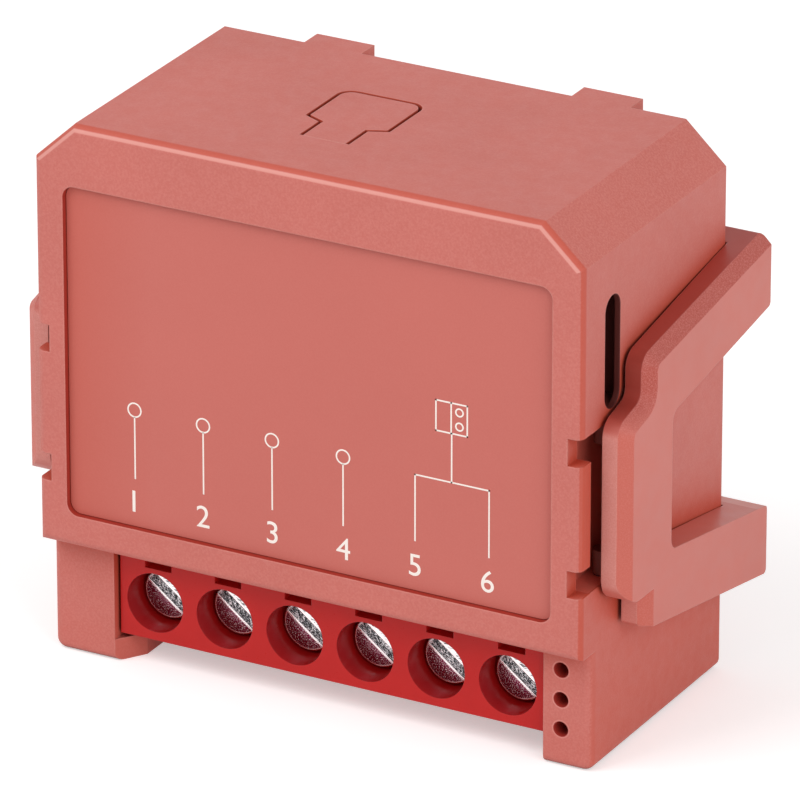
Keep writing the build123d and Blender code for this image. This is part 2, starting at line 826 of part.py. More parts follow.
# Terminal housing: six screw wells, cage chambers and wire entries
well_floor = terminal_front + screw_sink + screw_head_length + running_gap
chamber_front = well_floor + screw_web
cage_front = chamber_front + cage_end_gap + cage_travel
shank_end = cage_front + cage_nut + contact_tip_gap
bar_front = shank_end + contact_tip_gap
bar_rear = bar_front + contact_thickness
cage_low = terminal_low + chamber_floor + cage_end_gap
chamber_top = terminal_top - chamber_roof
with BuildPart() as terminal_housing:
    block((terminal_center - terminal_width / 2, terminal_center + terminal_width / 2),
          (terminal_front, board_front), (terminal_low, terminal_top))
    for x in pole_places:
        rod(x, screw_z, screw_hole_radius, (terminal_front - overrun, well_floor), mode=Mode.SUBTRACT)
        rod(x, screw_z, screw_shank_radius + running_gap, (well_floor - snug, chamber_front + snug),
            mode=Mode.SUBTRACT)
        block(about(x, chamber_width), (chamber_front, board_front + overrun),
              (terminal_low + chamber_floor, chamber_top), mode=Mode.SUBTRACT)
        block(about(x, wire_entry_width), (bar_rear, bar_rear + wire_entry_depth),
              (terminal_low - overrun, terminal_low + chamber_floor + snug), mode=Mode.SUBTRACT)
        block(about(x + pole_notch_shift, pole_notch_width),
              (terminal_front - overrun, terminal_front + pole_notch_depth),
              (screw_z + screw_hole_radius + pole_notch_rise, terminal_top + overrun), mode=Mode.SUBTRACT)
terminal_housing.part.label = "terminal_housing"
export_step(terminal_housing.part, "parts/terminal_housing.step")

# Clamp screws and the cages that they pull up
head_front = terminal_front + screw_sink
head_rear = head_front + screw_head_length
for pole, x in enumerate(pole_places, start=1):
    with BuildPart() as terminal_screw:
        rod(x, screw_z, screw_head_radius, (head_front, head_rear))
        chamfer(terminal_screw.edges().sort_by(Axis.Y)[0], length=running_gap * 2)
        rod(x, screw_z, screw_shank_radius, (head_rear, shank_end))
        with BuildSketch(facing_front(head_front - snug)):
            with Locations((x, screw_z)):
                Rectangle(2 * screw_head_radius + overrun, screw_slot_width, rotation=screw_slot_angle)
        extrude(amount=-screw_slot_depth - snug, mode=Mode.SUBTRACT)
    terminal_screw.part.label = f"terminal_screw_{pole}"
    export_step(terminal_screw.part, f"parts/terminal_screw_{pole}.step")

    with BuildPart() as clamp_cage:
        cage_zs = (cage_low, cage_low + cage_height)
        block(about(x, cage_width), (cage_front, cage_front + cage_length), cage_zs)
        block(about(x, cage_width - 2 * cage_side),
              (cage_front + cage_nut, cage_front + cage_nut + cage_window),
              (cage_low - overrun, cage_low + cage_height + overrun), mode=Mode.SUBTRACT)
        rod(x, screw_z, screw_shank_radius + running_gap,
            (cage_front - overrun, cage_front + cage_nut + snug), mode=Mode.SUBTRACT)
    clamp_cage.part.label = f"clamp_cage_{pole}"
    export_step(clamp_cage.part, f"parts/clamp_cage_{pole}.step")

# Fixed contact bars, one per pole, each with a solder pin
pin_z = chamber_top - contact_leg / 2
with BuildPart() as terminal_contacts:
    for x in pole_places:
        block(about(x, contact_width), (bar_front, bar_rear), (cage_low, chamber_top))
        block(about(x, contact_width), (bar_rear, board_front), (chamber_top - contact_leg, chamber_top))
        block(about(x, solder_pin_width), (board_front, pin_end), (chamber_top - contact_leg, chamber_top))
terminal_contacts.part.label = "terminal_contacts"
export_step(terminal_contacts.part, "parts/terminal_contacts.step")

# Main board with the holes that its pins pass through
pin_holes = [(x, pin_z, solder_pin_width / 2 + pin_hole_play) for x in pole_places]
relay_holes = [*relay_pin_places, (relay_x, fixed_pin_z)]
pin_holes += [(x, z, relay_pin_radius + pin_hole_play) for x, z in relay_holes]
pin_holes += [(x, z, transformer_pin_radius + pin_hole_play) for x, z in transformer_pin_places]
lead_places = [(x + side * bulk_lead_pitch / 2, z) for x, z in bulk_places for side in (-1, 1)]
lead_places += [(output_x + side * output_lead_pitch / 2, output_z) for side in (-1, 1)]
lead_places += [(drum_x, drum_z + side * drum_lead_pitch / 2) for side in (-1, 1)]
lead_places += [(right_column_x, varistor_z + side * varistor_lead_pitch / 2) for side in (-1, 1)]
lead_places += [(right_column_x, z) for z in fuse_lead_ends]
pin_holes += [(x, z, lead_radius + pin_hole_play) for x, z in lead_places]
with BuildPart() as main_board:
    block((-board_half, board_half), (board_front, board_back), (wall, board_top))
    for x, z, radius in pin_holes:
        rod(x, z, radius, (board_front - overrun, board_back + overrun), mode=Mode.SUBTRACT)
main_board.part.label = "main_board"
export_step(main_board.part, "parts/main_board.step")

# Relay cover: an open box over the works
relay_span = (relay_left, relay_left + relay_width)
with BuildPart() as relay_cover:
    block(relay_span, (relay_front, board_front), (relay_low, relay_high))
    fillet(relay_cover.edges().filter_by(Axis.Y), radius=relay_wall)
    inside_depths = (relay_front + relay_wall, board_front + overrun)
    block((relay_span[0] + relay_wall, relay_span[1] - relay_wall), inside_depths,
          (relay_low + relay_wall, relay_high - relay_wall), mode=Mode.SUBTRACT)
relay_cover.part.label = "relay_cover"
export_step(relay_cover.part, "parts/relay_cover.step")

# Relay base with its pin holes
base_inset = relay_wall + relay_base_play
with BuildPart() as relay_base:
    block((relay_span[0] + base_inset, relay_span[1] - base_inset), (relay_base_front, board_front),
          (relay_low + base_inset, relay_high - base_inset))
    for x, z in relay_pin_places + [(relay_x, fixed_pin_z)]:
        rod(x, z, relay_pin_radius + relay_pin_hole_play, (relay_base_front - overrun, board_front + overrun),
            mode=Mode.SUBTRACT)
relay_base.part.label = "relay_base"
export_step(relay_base.part, "parts/relay_base.step")

# Coil bobbin: a tube between two square flanges
tube_radius = coil_core_radius + core_play
with BuildPart() as relay_bobbin:
    for front in (front_flange, rear_flange):
        block(about(relay_x, flange_width), (front, front + flange_thickness), about(coil_z, flange_width))
    rod(relay_x, coil_z, tube_radius + coil_tube_wall, (front_flange, rear_flange + flange_thickness))
    rod(relay_x, coil_z, tube_radius, (front_flange - overrun, rear_flange + overrun), mode=Mode.SUBTRACT)
relay_bobbin.part.label = "relay_bobbin"
export_step(relay_bobbin.part, "parts/relay_bobbin.step")

with BuildPart() as relay_winding:
    winding_depths = (front_flange + flange_thickness, rear_flange)
    rod(relay_x, coil_z, coil_radius, winding_depths)
    rod(relay_x, coil_z, tube_radius + coil_tube_wall, (front_flange, rear_flange + overrun),
        mode=Mode.SUBTRACT)
relay_winding.part.label = "relay_winding"
export_step(relay_winding.part, "parts/relay_winding.step")

with BuildPart() as relay_core:
    rod(relay_x, coil_z, coil_core_radius, (pole_front, yoke_foot_front))
    rod(relay_x, coil_z, pole_face_radius, (pole_front, pole_front + pole_face_thickness))
relay_core.part.label = "relay_core"
export_step(relay_core.part, "parts/relay_core.step")

# Yoke: a foot under the coil and an upright that carries the armature
with BuildPart() as relay_yoke:
    block(about(relay_x, yoke_width), (yoke_foot_front, relay_base_front),
          (coil_z - coil_radius, yoke_upright_high))
    block(about(relay_x, yoke_width), (hinge_depth, relay_base_front), (yoke_upright_low, yoke_upright_high))
    for x in (relay_x - coil_pin_x, relay_x + coil_pin_x):
        rod(x, coil_pin_z, relay_pin_radius + pin_hole_play, (yoke_foot_front - overrun, board_front),
            mode=Mode.SUBTRACT)
relay_yoke.part.label = "relay_yoke"
export_step(relay_yoke.part, "parts/relay_yoke.step")

with BuildPart() as relay_armature:
    block(about(relay_x, armature_width), (armature_front, armature_rear),
          (hinge_z - armature_end, yoke_upright_high))
relay_armature.part.label = "relay_armature"
export_step(relay_armature.part, "parts/relay_armature.step")

# Contact spring: a bent leaf on the armature with its rivet
with BuildPart() as relay_contact_spring:
    block(about(relay_x, spring_width), (spring_front, armature_front), (hinge_z - rivet_lever, leaf_high))
    block(about(relay_x, spring_width), (spring_front, rivet_depth + rivet_radius), (leaf_low, leaf_high))
    post(relay_x, rivet_depth, rivet_radius, (leaf_high, moving_rivet_end))
relay_contact_spring.part.label = "relay_contact_spring"
export_step(relay_contact_spring.part, "parts/relay_contact_spring.step")

with BuildPart() as relay_fixed_contacts:
    block(about(relay_x, spring_width), (rivet_depth - rivet_radius, relay_base_front),
          (fixed_plate_low, fixed_plate_high))
    post(relay_x, rivet_depth, rivet_radius, (fixed_rivet_start, fixed_plate_low))
    rod(relay_x, fixed_pin_z, relay_pin_radius, (relay_base_front, pin_end))
relay_fixed_contacts.part.label = "relay_fixed_contacts"
export_step(relay_fixed_contacts.part, "parts/relay_fixed_contacts.step")

with BuildPart() as relay_pins:
    for (x, z), front in zip(relay_pin_places, (yoke_foot_front, yoke_foot_front, relay_base_front)):
        rod(x, z, relay_pin_radius, (front, pin_end))
relay_pins.part.label = "relay_pins"
export_step(relay_pins.part, "parts/relay_pins.step")

# Transformer core: two E halves that meet at the middle
with BuildPart() as transformer_core:
    for near, far, window in (
        (core_front, core_split, (window_front, core_split + overrun)),
        (core_split, core_rear, (core_split - overrun, window_rear)),
    ):
        with BuildPart(mode=Mode.PRIVATE) as core_half:
            block(about(transformer_x, transformer_width), (near, far), about(transformer_z, core_depth))
            for side in (-1, 1):
                inner = transformer_x + side * core_centre_half
                outer = transformer_x + side * window_outer
                block((inner, outer), window, about(transformer_z, core_depth + overrun), mode=Mode.SUBTRACT)
        add(core_half.part, clean=False)
transformer_core.part.label = "transformer_core"
export_step(transformer_core.part, "parts/transformer_core.step")

with BuildPart() as transformer_bobbin:
    flange_xs = about(transformer_x, 2 * flange_half_x)
    flange_zs = about(transformer_z, 2 * flange_half_z)
    block(flange_xs, (window_front + bobbin_play, window_front + bobbin_play + bobbin_flange), flange_zs)
    block(flange_xs, (window_rear - bobbin_play - bobbin_flange, window_rear - bobbin_play), flange_zs)
    block(about(transformer_x, 2 * tube_half_x), (window_front + bobbin_play, window_rear - bobbin_play),
          about(transformer_z, 2 * tube_half_z))
    for side in (-1, 1):
        rail = (transformer_z + side * (rail_outer - rail_width), transformer_z + side * rail_outer)
        block(about(transformer_x, rail_span), (window_rear - bobbin_play - bobbin_flange, board_front), rail)
    block(about(transformer_x, 2 * (core_centre_half + bobbin_play)), (core_front, core_rear),
          about(transformer_z, core_depth + 2 * bobbin_play), mode=Mode.SUBTRACT)
transformer_bobbin.part.label = "transformer_bobbin"
export_step(transformer_bobbin.part, "parts/transformer_bobbin.step")

with BuildPart() as transformer_winding:
    coil_depths = (window_front + bobbin_play + bobbin_flange, window_rear - bobbin_play - bobbin_flange)
    block(about(transformer_x, 2 * (flange_half_x - winding_inset)), coil_depths,
          about(transformer_z, 2 * (flange_half_z - winding_inset)))
    fillet(transformer_winding.edges().filter_by(Axis.Y), radius=bobbin_wall * 2)
    block(about(transformer_x, 2 * tube_half_x), (core_front, core_rear),
          about(transformer_z, 2 * tube_half_z), mode=Mode.SUBTRACT)
transformer_winding.part.label = "transformer_winding"
export_step(transformer_winding.part, "parts/transformer_winding.step")

with BuildPart() as transformer_pins:
    for x, z in transformer_pin_places:
        rod(x, z, transformer_pin_radius, (board_front, pin_end))
transformer_pins.part.label = "transformer_pins"
export_step(transformer_pins.part, "parts/transformer_pins.step")


def can(x, z, radius, height, lead_pitch):
    """Capacitor can that stands on the board, with a rounded rim and two leads."""
    rod(x, z, radius, on_board(height))
    rod(x, z, radius - can_edge_radius, on_board(height + lead_radius))
    for side in (-1, 1):
        rod(x + side * lead_pitch / 2, z, lead_radius, (board_front, pin_end))


with BuildPart() as bulk_capacitors:
    for x, z in bulk_places:
        can(x, z, bulk_radius, tall_height - lead_radius, bulk_lead_pitch)
bulk_capacitors.part.label = "bulk_capacitors"
export_step(bulk_capacitors.part, "parts/bulk_capacitors.step")

with BuildPart() as output_capacitor:
    can(output_x, output_z, output_can_radius, output_can_height, output_lead_pitch)
output_capacitor.part.label = "output_capacitor"
export_step(output_capacitor.part, "parts/output_capacitor.step")

# Drum-core choke
with BuildPart() as filter_inductor:
    rod(drum_x, drum_z, drum_radius, on_board(drum_flange))
    rod(drum_x, drum_z, drum_neck_radius, on_board(drum_height))
    rod(drum_x, drum_z, drum_radius, (board_front - drum_height, board_front - drum_height + drum_flange))
    rod(drum_x, drum_z, (drum_radius + drum_neck_radius) / 2, on_board(drum_height - drum_flange))
    for side in (-1, 1):
        rod(drum_x, drum_z + side * drum_lead_pitch / 2, lead_radius, (board_front, pin_end))
filter_inductor.part.label = "filter_inductor"
export_step(filter_inductor.part, "parts/filter_inductor.step")

# Varistor: a coated disc on edge
with BuildPart() as varistor:
    with BuildSketch(Plane.YZ.offset(right_column_x - varistor_thickness / 2)):
        with Locations((deep(board_front - varistor_lift - varistor_radius), varistor_z)):
            Circle(varistor_radius)
    extrude(amount=varistor_thickness)
    fillet(varistor.edges(), radius=varistor_thickness / 4)
    for side in (-1, 1):
        lead_z = varistor_z + side * varistor_lead_pitch / 2
        rod(right_column_x, lead_z, lead_radius, (board_front - varistor_lift - varistor_radius, pin_end))
varistor.part.label = "varistor"
export_step(varistor.part, "parts/varistor.step")

# Fusible resistor that lies along the board, with its leads bent down
fuse_depth = board_front - fuse_lift - fuse_radius
with BuildPart() as fuse_resistor:
    post(right_column_x, fuse_depth, fuse_radius, (fuse_low, fuse_low + fuse_length))
    fillet(fuse_resistor.edges(), radius=fuse_radius / 4)
    post(right_column_x, fuse_depth, lead_radius, (fuse_lead_ends[0], fuse_lead_ends[1]))
    for z in fuse_lead_ends:
        rod(right_column_x, z, lead_radius, (fuse_depth, pin_end))
fuse_resistor.part.label = "fuse_resistor"
export_step(fuse_resistor.part, "parts/fuse_resistor.step")


def chip(size, place, leads):
    """Flat package on the board's front, with this many leads on each long side."""
    width, length, height = size
    x, z = place
    block(about(x, width), on_board(height), about(z, length))
    for count in range(leads):
        lead_x = x + width * (count + 0.5 - leads / 2) / leads
        block(about(lead_x, chip_lead_width), on_board(chip_lead_height),
              about(z, length + 2 * chip_lead_reach))


with BuildPart() as converter_chip:
    chip(converter_size, converter_place, leads=4)
converter_chip.part.label = "converter_chip"
export_step(converter_chip.part, "parts/converter_chip.step")

with BuildPart() as regulator_chip:
    chip(regulator_size, regulator_place, leads=3)
regulator_chip.part.label = "regulator_chip"
export_step(regulator_chip.part, "parts/regulator_chip.step")

with BuildPart() as bridge_rectifier:
    chip(bridge_size, bridge_place, leads=2)
bridge_rectifier.part.label = "bridge_rectifier"
export_step(bridge_rectifier.part, "parts/bridge_rectifier.step")

with BuildPart() as optocoupler:
    chip(optocoupler_size, optocoupler_place, leads=2)
optocoupler.part.label = "optocoupler"
export_step(optocoupler.part, "parts/optocoupler.step")

with BuildPart() as driver_transistor:
    chip(transistor_size, transistor_place, leads=2)
driver_transistor.part.label = "driver_transistor"
export_step(driver_transistor.part, "parts/driver_transistor.step")

with BuildPart() as flyback_diode:
    chip(diode_size, diode_place, leads=1)
flyback_diode.part.label = "flyback_diode"
export_step(flyback_diode.part, "parts/flyback_diode.step")

with BuildPart() as status_leds:
    for z in light_places:
        block(about(light_x, lamp_width), on_board(lamp_thickness), about(z, lamp_length))
status_leds.part.label = "status_leds"
export_step(status_leds.part, "parts/status_leds.step")

# Small resistors and capacitors on the back of the board
with BuildPart() as board_passives:
    for column in range(passive_columns):
        for row in range(passive_rows):
            x = passive_x + passive_pitch_x * (column - (passive_columns - 1) / 2)
            z = passive_z + passive_pitch_z * (row - (passive_rows - 1) / 2)
            block(about(x, passive_width), behind_board(passive_height), about(z, passive_length))
board_passives.part.label = "board_passives"
export_step(board_passives.part, "parts/board_passives.step")

# Radio module: its own small board, a shield and a meandered antenna above it
with BuildPart() as radio_board:
    block(about(radio_x, radio_width), behind_board(radio_thickness), (radio_low, radio_high))
radio_board.part.label = "radio_board"
export_step(radio_board.part, "parts/radio_board.step")

radio_face = board_back + radio_thickness
shield_low = radio_low + shield_low_gap
with BuildPart() as radio_shield:
    block(about(radio_x, shield_width), (radio_face, radio_face + shield_height),
          (shield_low, shield_low + shield_length))
    inside_depths = (radio_face - overrun, radio_face + shield_height - shield_wall)
    block(about(radio_x, shield_width - 2 * shield_wall), inside_depths,
          (shield_low + shield_wall, shield_low + shield_length - shield_wall), mode=Mode.SUBTRACT)
radio_shield.part.label = "radio_shield"
export_step(radio_shield.part, "parts/radio_shield.step")

antenna_pitch = shield_width / antenna_turns
antenna_low = radio_high - shield_low_gap - antenna_height
antenna_depths = (radio_face, radio_face + antenna_thickness)
with BuildPart() as radio_antenna:
    for turn in range(antenna_turns):
        left = radio_x - shield_width / 2 + antenna_pitch * turn
        block((left, left + antenna_width), antenna_depths, (antenna_low, antenna_low + antenna_height))
        link_low = antenna_low + (antenna_height - antenna_width) * (turn % 2)
        if turn < antenna_turns - 1:
            block((left, left + antenna_pitch + antenna_width), antenna_depths,
                  (link_low, link_low + antenna_width))
radio_antenna.part.label = "radio_antenna"
export_step(radio_antenna.part, "parts/radio_antenna.step")

# Press switch: body, sheet-metal shell and plunger
switch_front = board_front - switch_height
switch_span = about(tongue_offset, switch_width)
with BuildPart() as switch_body:
    block(switch_span, (switch_front, board_front), (switch_low, board_top))
    post(tongue_offset, plunger_depth, plunger_radius + running_gap,
         (board_top - plunger_sunk - plunger_stroke - running_gap, board_top + overrun), mode=Mode.SUBTRACT)
switch_body.part.label = "switch_body"
export_step(switch_body.part, "parts/switch_body.step")

with BuildPart() as switch_shell:
    block((switch_span[0] - switch_shell_thickness, switch_span[1] + switch_shell_thickness),
          (switch_front - switch_shell_thickness, board_front), (switch_low, board_top))
    block(switch_span, (switch_front, board_front + overrun), (switch_low - overrun, board_top + overrun),
          mode=Mode.SUBTRACT)
switch_shell.part.label = "switch_shell"
export_step(switch_shell.part, "parts/switch_shell.step")

with BuildPart() as switch_plunger:
    post(tongue_offset, plunger_depth, plunger_radius, (board_top - plunger_sunk, plunger_top))
switch_plunger.part.label = "switch_plunger"
export_step(switch_plunger.part, "parts/switch_plunger.step")
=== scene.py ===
"""Dresses the garage door controller: finishes for every piece, the printed wiring marks, and a plain studio."""

import math

import bmesh
import bpy
from mathutils import Matrix, Vector


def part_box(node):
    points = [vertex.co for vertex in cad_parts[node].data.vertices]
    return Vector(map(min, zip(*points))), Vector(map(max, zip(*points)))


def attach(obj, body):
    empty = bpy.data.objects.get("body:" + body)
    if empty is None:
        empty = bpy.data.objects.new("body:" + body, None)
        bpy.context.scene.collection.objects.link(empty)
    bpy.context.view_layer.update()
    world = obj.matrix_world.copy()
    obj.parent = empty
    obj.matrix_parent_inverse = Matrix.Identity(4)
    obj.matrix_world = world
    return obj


bl_info = {
    "name": "Garage door controller",
    "version": (1, 0, 0),
    "blender": (4, 5, 0),
    "location": "3D View > Sidebar > Controller",
    "description": "Finishes, printed marks and studio for a coral garage door controller",
    "category": "Object",
}

MM = 0.001
FULL_TURN = 2 * math.pi
NOISE_LOW, NOISE_HIGH = 0.3, 0.7  # nearly all values of a noise texture lie between these
BEVEL_SAMPLES = 6
SKY_SAMPLES = 8
MERGE_DISTANCE = 1e-8
SMALL_ROUNDING = 0.06 * MM  # on the edges of the small pieces
POLES = range(1, 7)

# Places of the printed marks, across and up in millimetres
RINGS = ((-12.3, 18.24), (-7.42, 18.22), (-2.55, 18.25), (2.44, 18.21))
WIRES_END = 13.62
PLUG_RINGS = ((10.52, 22.86), (10.52, 21.92))
PLUG_CORNERS = ((8.9, 23.4), (11.06, 23.4), (11.06, 21.38), (8.9, 21.38))
PLUG_DIVIDER = ((9.95, 23.4), (9.95, 21.38))
PLUG_STEM = ((9.99, 21.38), (9.99, 18.12))
FORK = (((7.46, 18.12), (12.58, 18.12)), ((7.46, 18.12), (7.46, 13.7)), ((12.58, 18.12), (12.58, 13.68)))
NUMBERS = (-12.42, -7.48, -2.55, 2.46, 7.46, 12.48)
NUMBER_LINE = 11.95
DIGIT_SHARE = 0.69  # height of a digit as a share of the font's size
RING_STEPS = 48

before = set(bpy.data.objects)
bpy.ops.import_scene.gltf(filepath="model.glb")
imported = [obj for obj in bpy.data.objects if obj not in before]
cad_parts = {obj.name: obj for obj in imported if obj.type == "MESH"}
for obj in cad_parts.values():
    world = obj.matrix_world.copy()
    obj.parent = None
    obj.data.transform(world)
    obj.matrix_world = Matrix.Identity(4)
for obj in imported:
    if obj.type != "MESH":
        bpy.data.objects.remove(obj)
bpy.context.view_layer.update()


def linear(red, green, blue):
    """Linear colour of an 8-bit display colour."""
    values = [value / 255 for value in (red, green, blue)]
    return tuple(value / 12.92 if value <= 0.04045 else ((value + 0.055) / 1.055) ** 2.4 for value in values)


def colour_property(name, description, default):
    """A colour setting."""
    return bpy.props.FloatVectorProperty(
        name=name, description=description, default=default, size=3, min=0, max=1, subtype="COLOR")


def length_property(name, description, millimetres):
    """A length setting, given in millimetres."""
    return bpy.props.FloatProperty(
        name=name, description=description, default=millimetres * MM, min=0, precision=5,
        unit="LENGTH", subtype="DISTANCE")


def angle_property(name, description, degrees):
    """An angle setting, given in degrees."""
    return bpy.props.FloatProperty(
        name=name, description=description, default=math.radians(degrees), subtype="ANGLE", unit="ROTATION")


def power_property(name, description, watts):
    """A lamp's power."""
    return bpy.props.FloatProperty(
        name=name, description=description, default=watts, min=0, subtype="POWER", unit="POWER")


class ControllerCoral(bpy.types.PropertyGroup):
    """Coral mouldings"""

    shell: colour_property("Shell", "Colour of the housing", linear(202, 110, 100))
    clip: colour_property("Clips", "Colour of the side clips", linear(206, 111, 99))
    label: colour_property("Label", "Colour of the label panel", linear(203, 110, 100))
    # Pale colour: painted highlights on edges, rims and hook tops, rubbed wear, and grain specks partly painted as
    # sheen
    worn_edge: colour_property("Edges", "Colour of rubbed edges and specks", linear(230, 158, 148))
    # Painted orange shade: inner corners, side walls by the feet, slanted faces, the front edge's back part, pocket
    # fronts and the label's left edge
    warm: colour_property("Warm", "Colour of inner corners and of the side's foot", linear(196, 78, 56))
    # Painted deep red shade on the label recess walls and on the clips' upper arms
    deep_red: colour_property("Deep red", "Colour of the recess walls and of the arms", linear(166, 54, 42))
    # Painted dark shade deep inside narrow gaps
    gap: colour_property("Gaps", "Colour deep inside narrow gaps", linear(126, 50, 41))
    # Painted dark shade inside the housing and its vents
    hollow: colour_property("Hollow", "Colour inside the housing and its vents", linear(98, 41, 36))
    # Painted red shade inside the light holes
    light_hole: colour_property("Light holes", "Colour inside the light holes", linear(173, 55, 46))
    # Painted light: a bright colour on the walls of the dim clip pockets
    pocket: colour_property("Pockets", "Colour of the clips' pockets", linear(214, 104, 88))
    # Painted dark shade on the clips' ears inside the pockets
    ear: colour_property("Ears", "Colour of the clips' ears in their pockets", linear(62, 24, 20))
    grain: length_property("Grain", "Size of the spark-eroded grain", 0.14)
    grain_depth: length_property("Grain depth", "Height of the grain", 0.018)
    wall: length_property("Wall", "Reach of the housing's outer walls inwards", 1.45)
    vent_depth: length_property("Vent depth", "From the front face to the vents' middle", 3.95)
    vent_drop: length_property("Vent drop", "From the top to the vents' upper end", 5.55)
    vent_length: length_property("Vent length", "Length of the vents", 7.4)
    vent_width: length_property("Vent width", "Width of the vents", 1.95)
    light_hole_middle: length_property("Light hole middle", "Height of the middle light hole", 4.55)
    light_hole_pitch: length_property("Light hole pitch", "From one light hole to the next", 2.0)
    light_hole_radius: length_property("Light hole radius", "Radius of the light holes", 0.5)
    pocket_low: length_property("Pocket low", "Height of the pockets' lower end", 12.3)
    pocket_high: length_property("Pocket high", "Height of the pockets' upper end", 22.95)
    pocket_sink: length_property("Pocket sink", "Depth of the pockets in the side walls", 1.75)
    pocket_front: length_property("Pocket front", "From the front face to the pockets", 1.2)
    pocket_back: length_property("Pocket back", "From the front face to the pockets' back end", 7.3)


class ControllerTerminal(bpy.types.PropertyGroup):
    """Screw terminal"""

    body: colour_property("Body", "Colour of the terminal's moulding", linear(193, 28, 26))
    # Painted highlight along the moulding's edges
    body_edge: colour_property("Edges", "Colour of the moulding's edges", linear(222, 84, 78))
    # Painted dark shade inside the screw wells
    well: colour_property("Wells", "Colour inside the screw wells", linear(166, 21, 22))
    well_radius: length_property("Well radius", "Radius of the screw wells", 2.0)
    # Bright plating colour, also used for painted highlights on the screw heads
    screw: colour_property("Screws", "Colour of the bright plating", (1.0, 0.99, 1.0))
    # Painted dark reflection of the well
    screw_dark: colour_property("Screw shade", "Colour of the plating where it mirrors the well", (0.20, 0.016, 0.06))
    # Painted grey shade in the slot, and dark lines between painted streak reflections above it
    screw_grey: colour_property("Slot shade", "Colour of the plating inside the slot", (0.12, 0.12, 0.13))
    slot_angle: angle_property("Slot angle", "Fall of the screw slots to the right", 38)
    slot_width: length_property("Slot width", "Width of the screw slots", 0.62)
    # Width of a painted highlight line along each slot edge
    line: length_property("Line", "Width of the bright line along a slot's edge", 0.15)
    # Width of a painted highlight rim round each screw head
    rim: length_property("Rim", "Width of a screw head's bright rim", 0.17)
    turning: length_property("Turning", "Pitch of the turned rings on a screw head", 0.11)


class ControllerPrint(bpy.types.PropertyGroup):
    """Marks printed on the label"""

    ink: colour_property("Ink", "Colour of the print", linear(255, 244, 236))
    thin_ink: colour_property("Thin ink", "Colour where the print is thin", linear(236, 190, 180))
    stroke: length_property("Stroke", "Width of the printed lines", 0.1)
    film: length_property("Film", "Thickness of the ink", 0.012)
    ring: length_property("Ring", "Middle radius of the rings that end the wires", 0.46)
    small_ring: length_property("Small ring", "Middle radius of the rings in the plug", 0.25)
    digit: length_property("Digit", "Height of the terminal numbers", 1.45)


class ControllerStudio(bpy.types.PropertyGroup):
    """Camera, lights and floor"""

    azimuth: angle_property("Azimuth", "Camera's turn to the object's right", 28.59)
    elevation: angle_property("Elevation", "Camera's height over the horizon", 23.69)
    distance: length_property("Distance", "From the aim to the camera", 575.4)
    lens: bpy.props.FloatProperty(
        name="Lens", description="Focal length of the camera in millimetres", default=417.3, min=1)
    aim_across: length_property("Aim across", "Aim's shift to the right in the picture", 1.514)
    aim_down: length_property("Aim down", "Aim's shift down in the picture", 0.19)
    key: power_property("Key", "Power of the large lamp from the upper left", 0.83)
    fill: power_property("Fill", "Power of the lamp from the right", 0.83)
    ambient: bpy.props.FloatProperty(name="Ambient", description="Strength of the even light", default=0.5, min=0)
    floor: colour_property("Floor", "Colour of the floor", (0.86, 0.86, 0.86))
    floor_glow: bpy.props.FloatProperty(
        name="Floor white", description="White that the floor adds for the camera only", default=0.42, min=0)


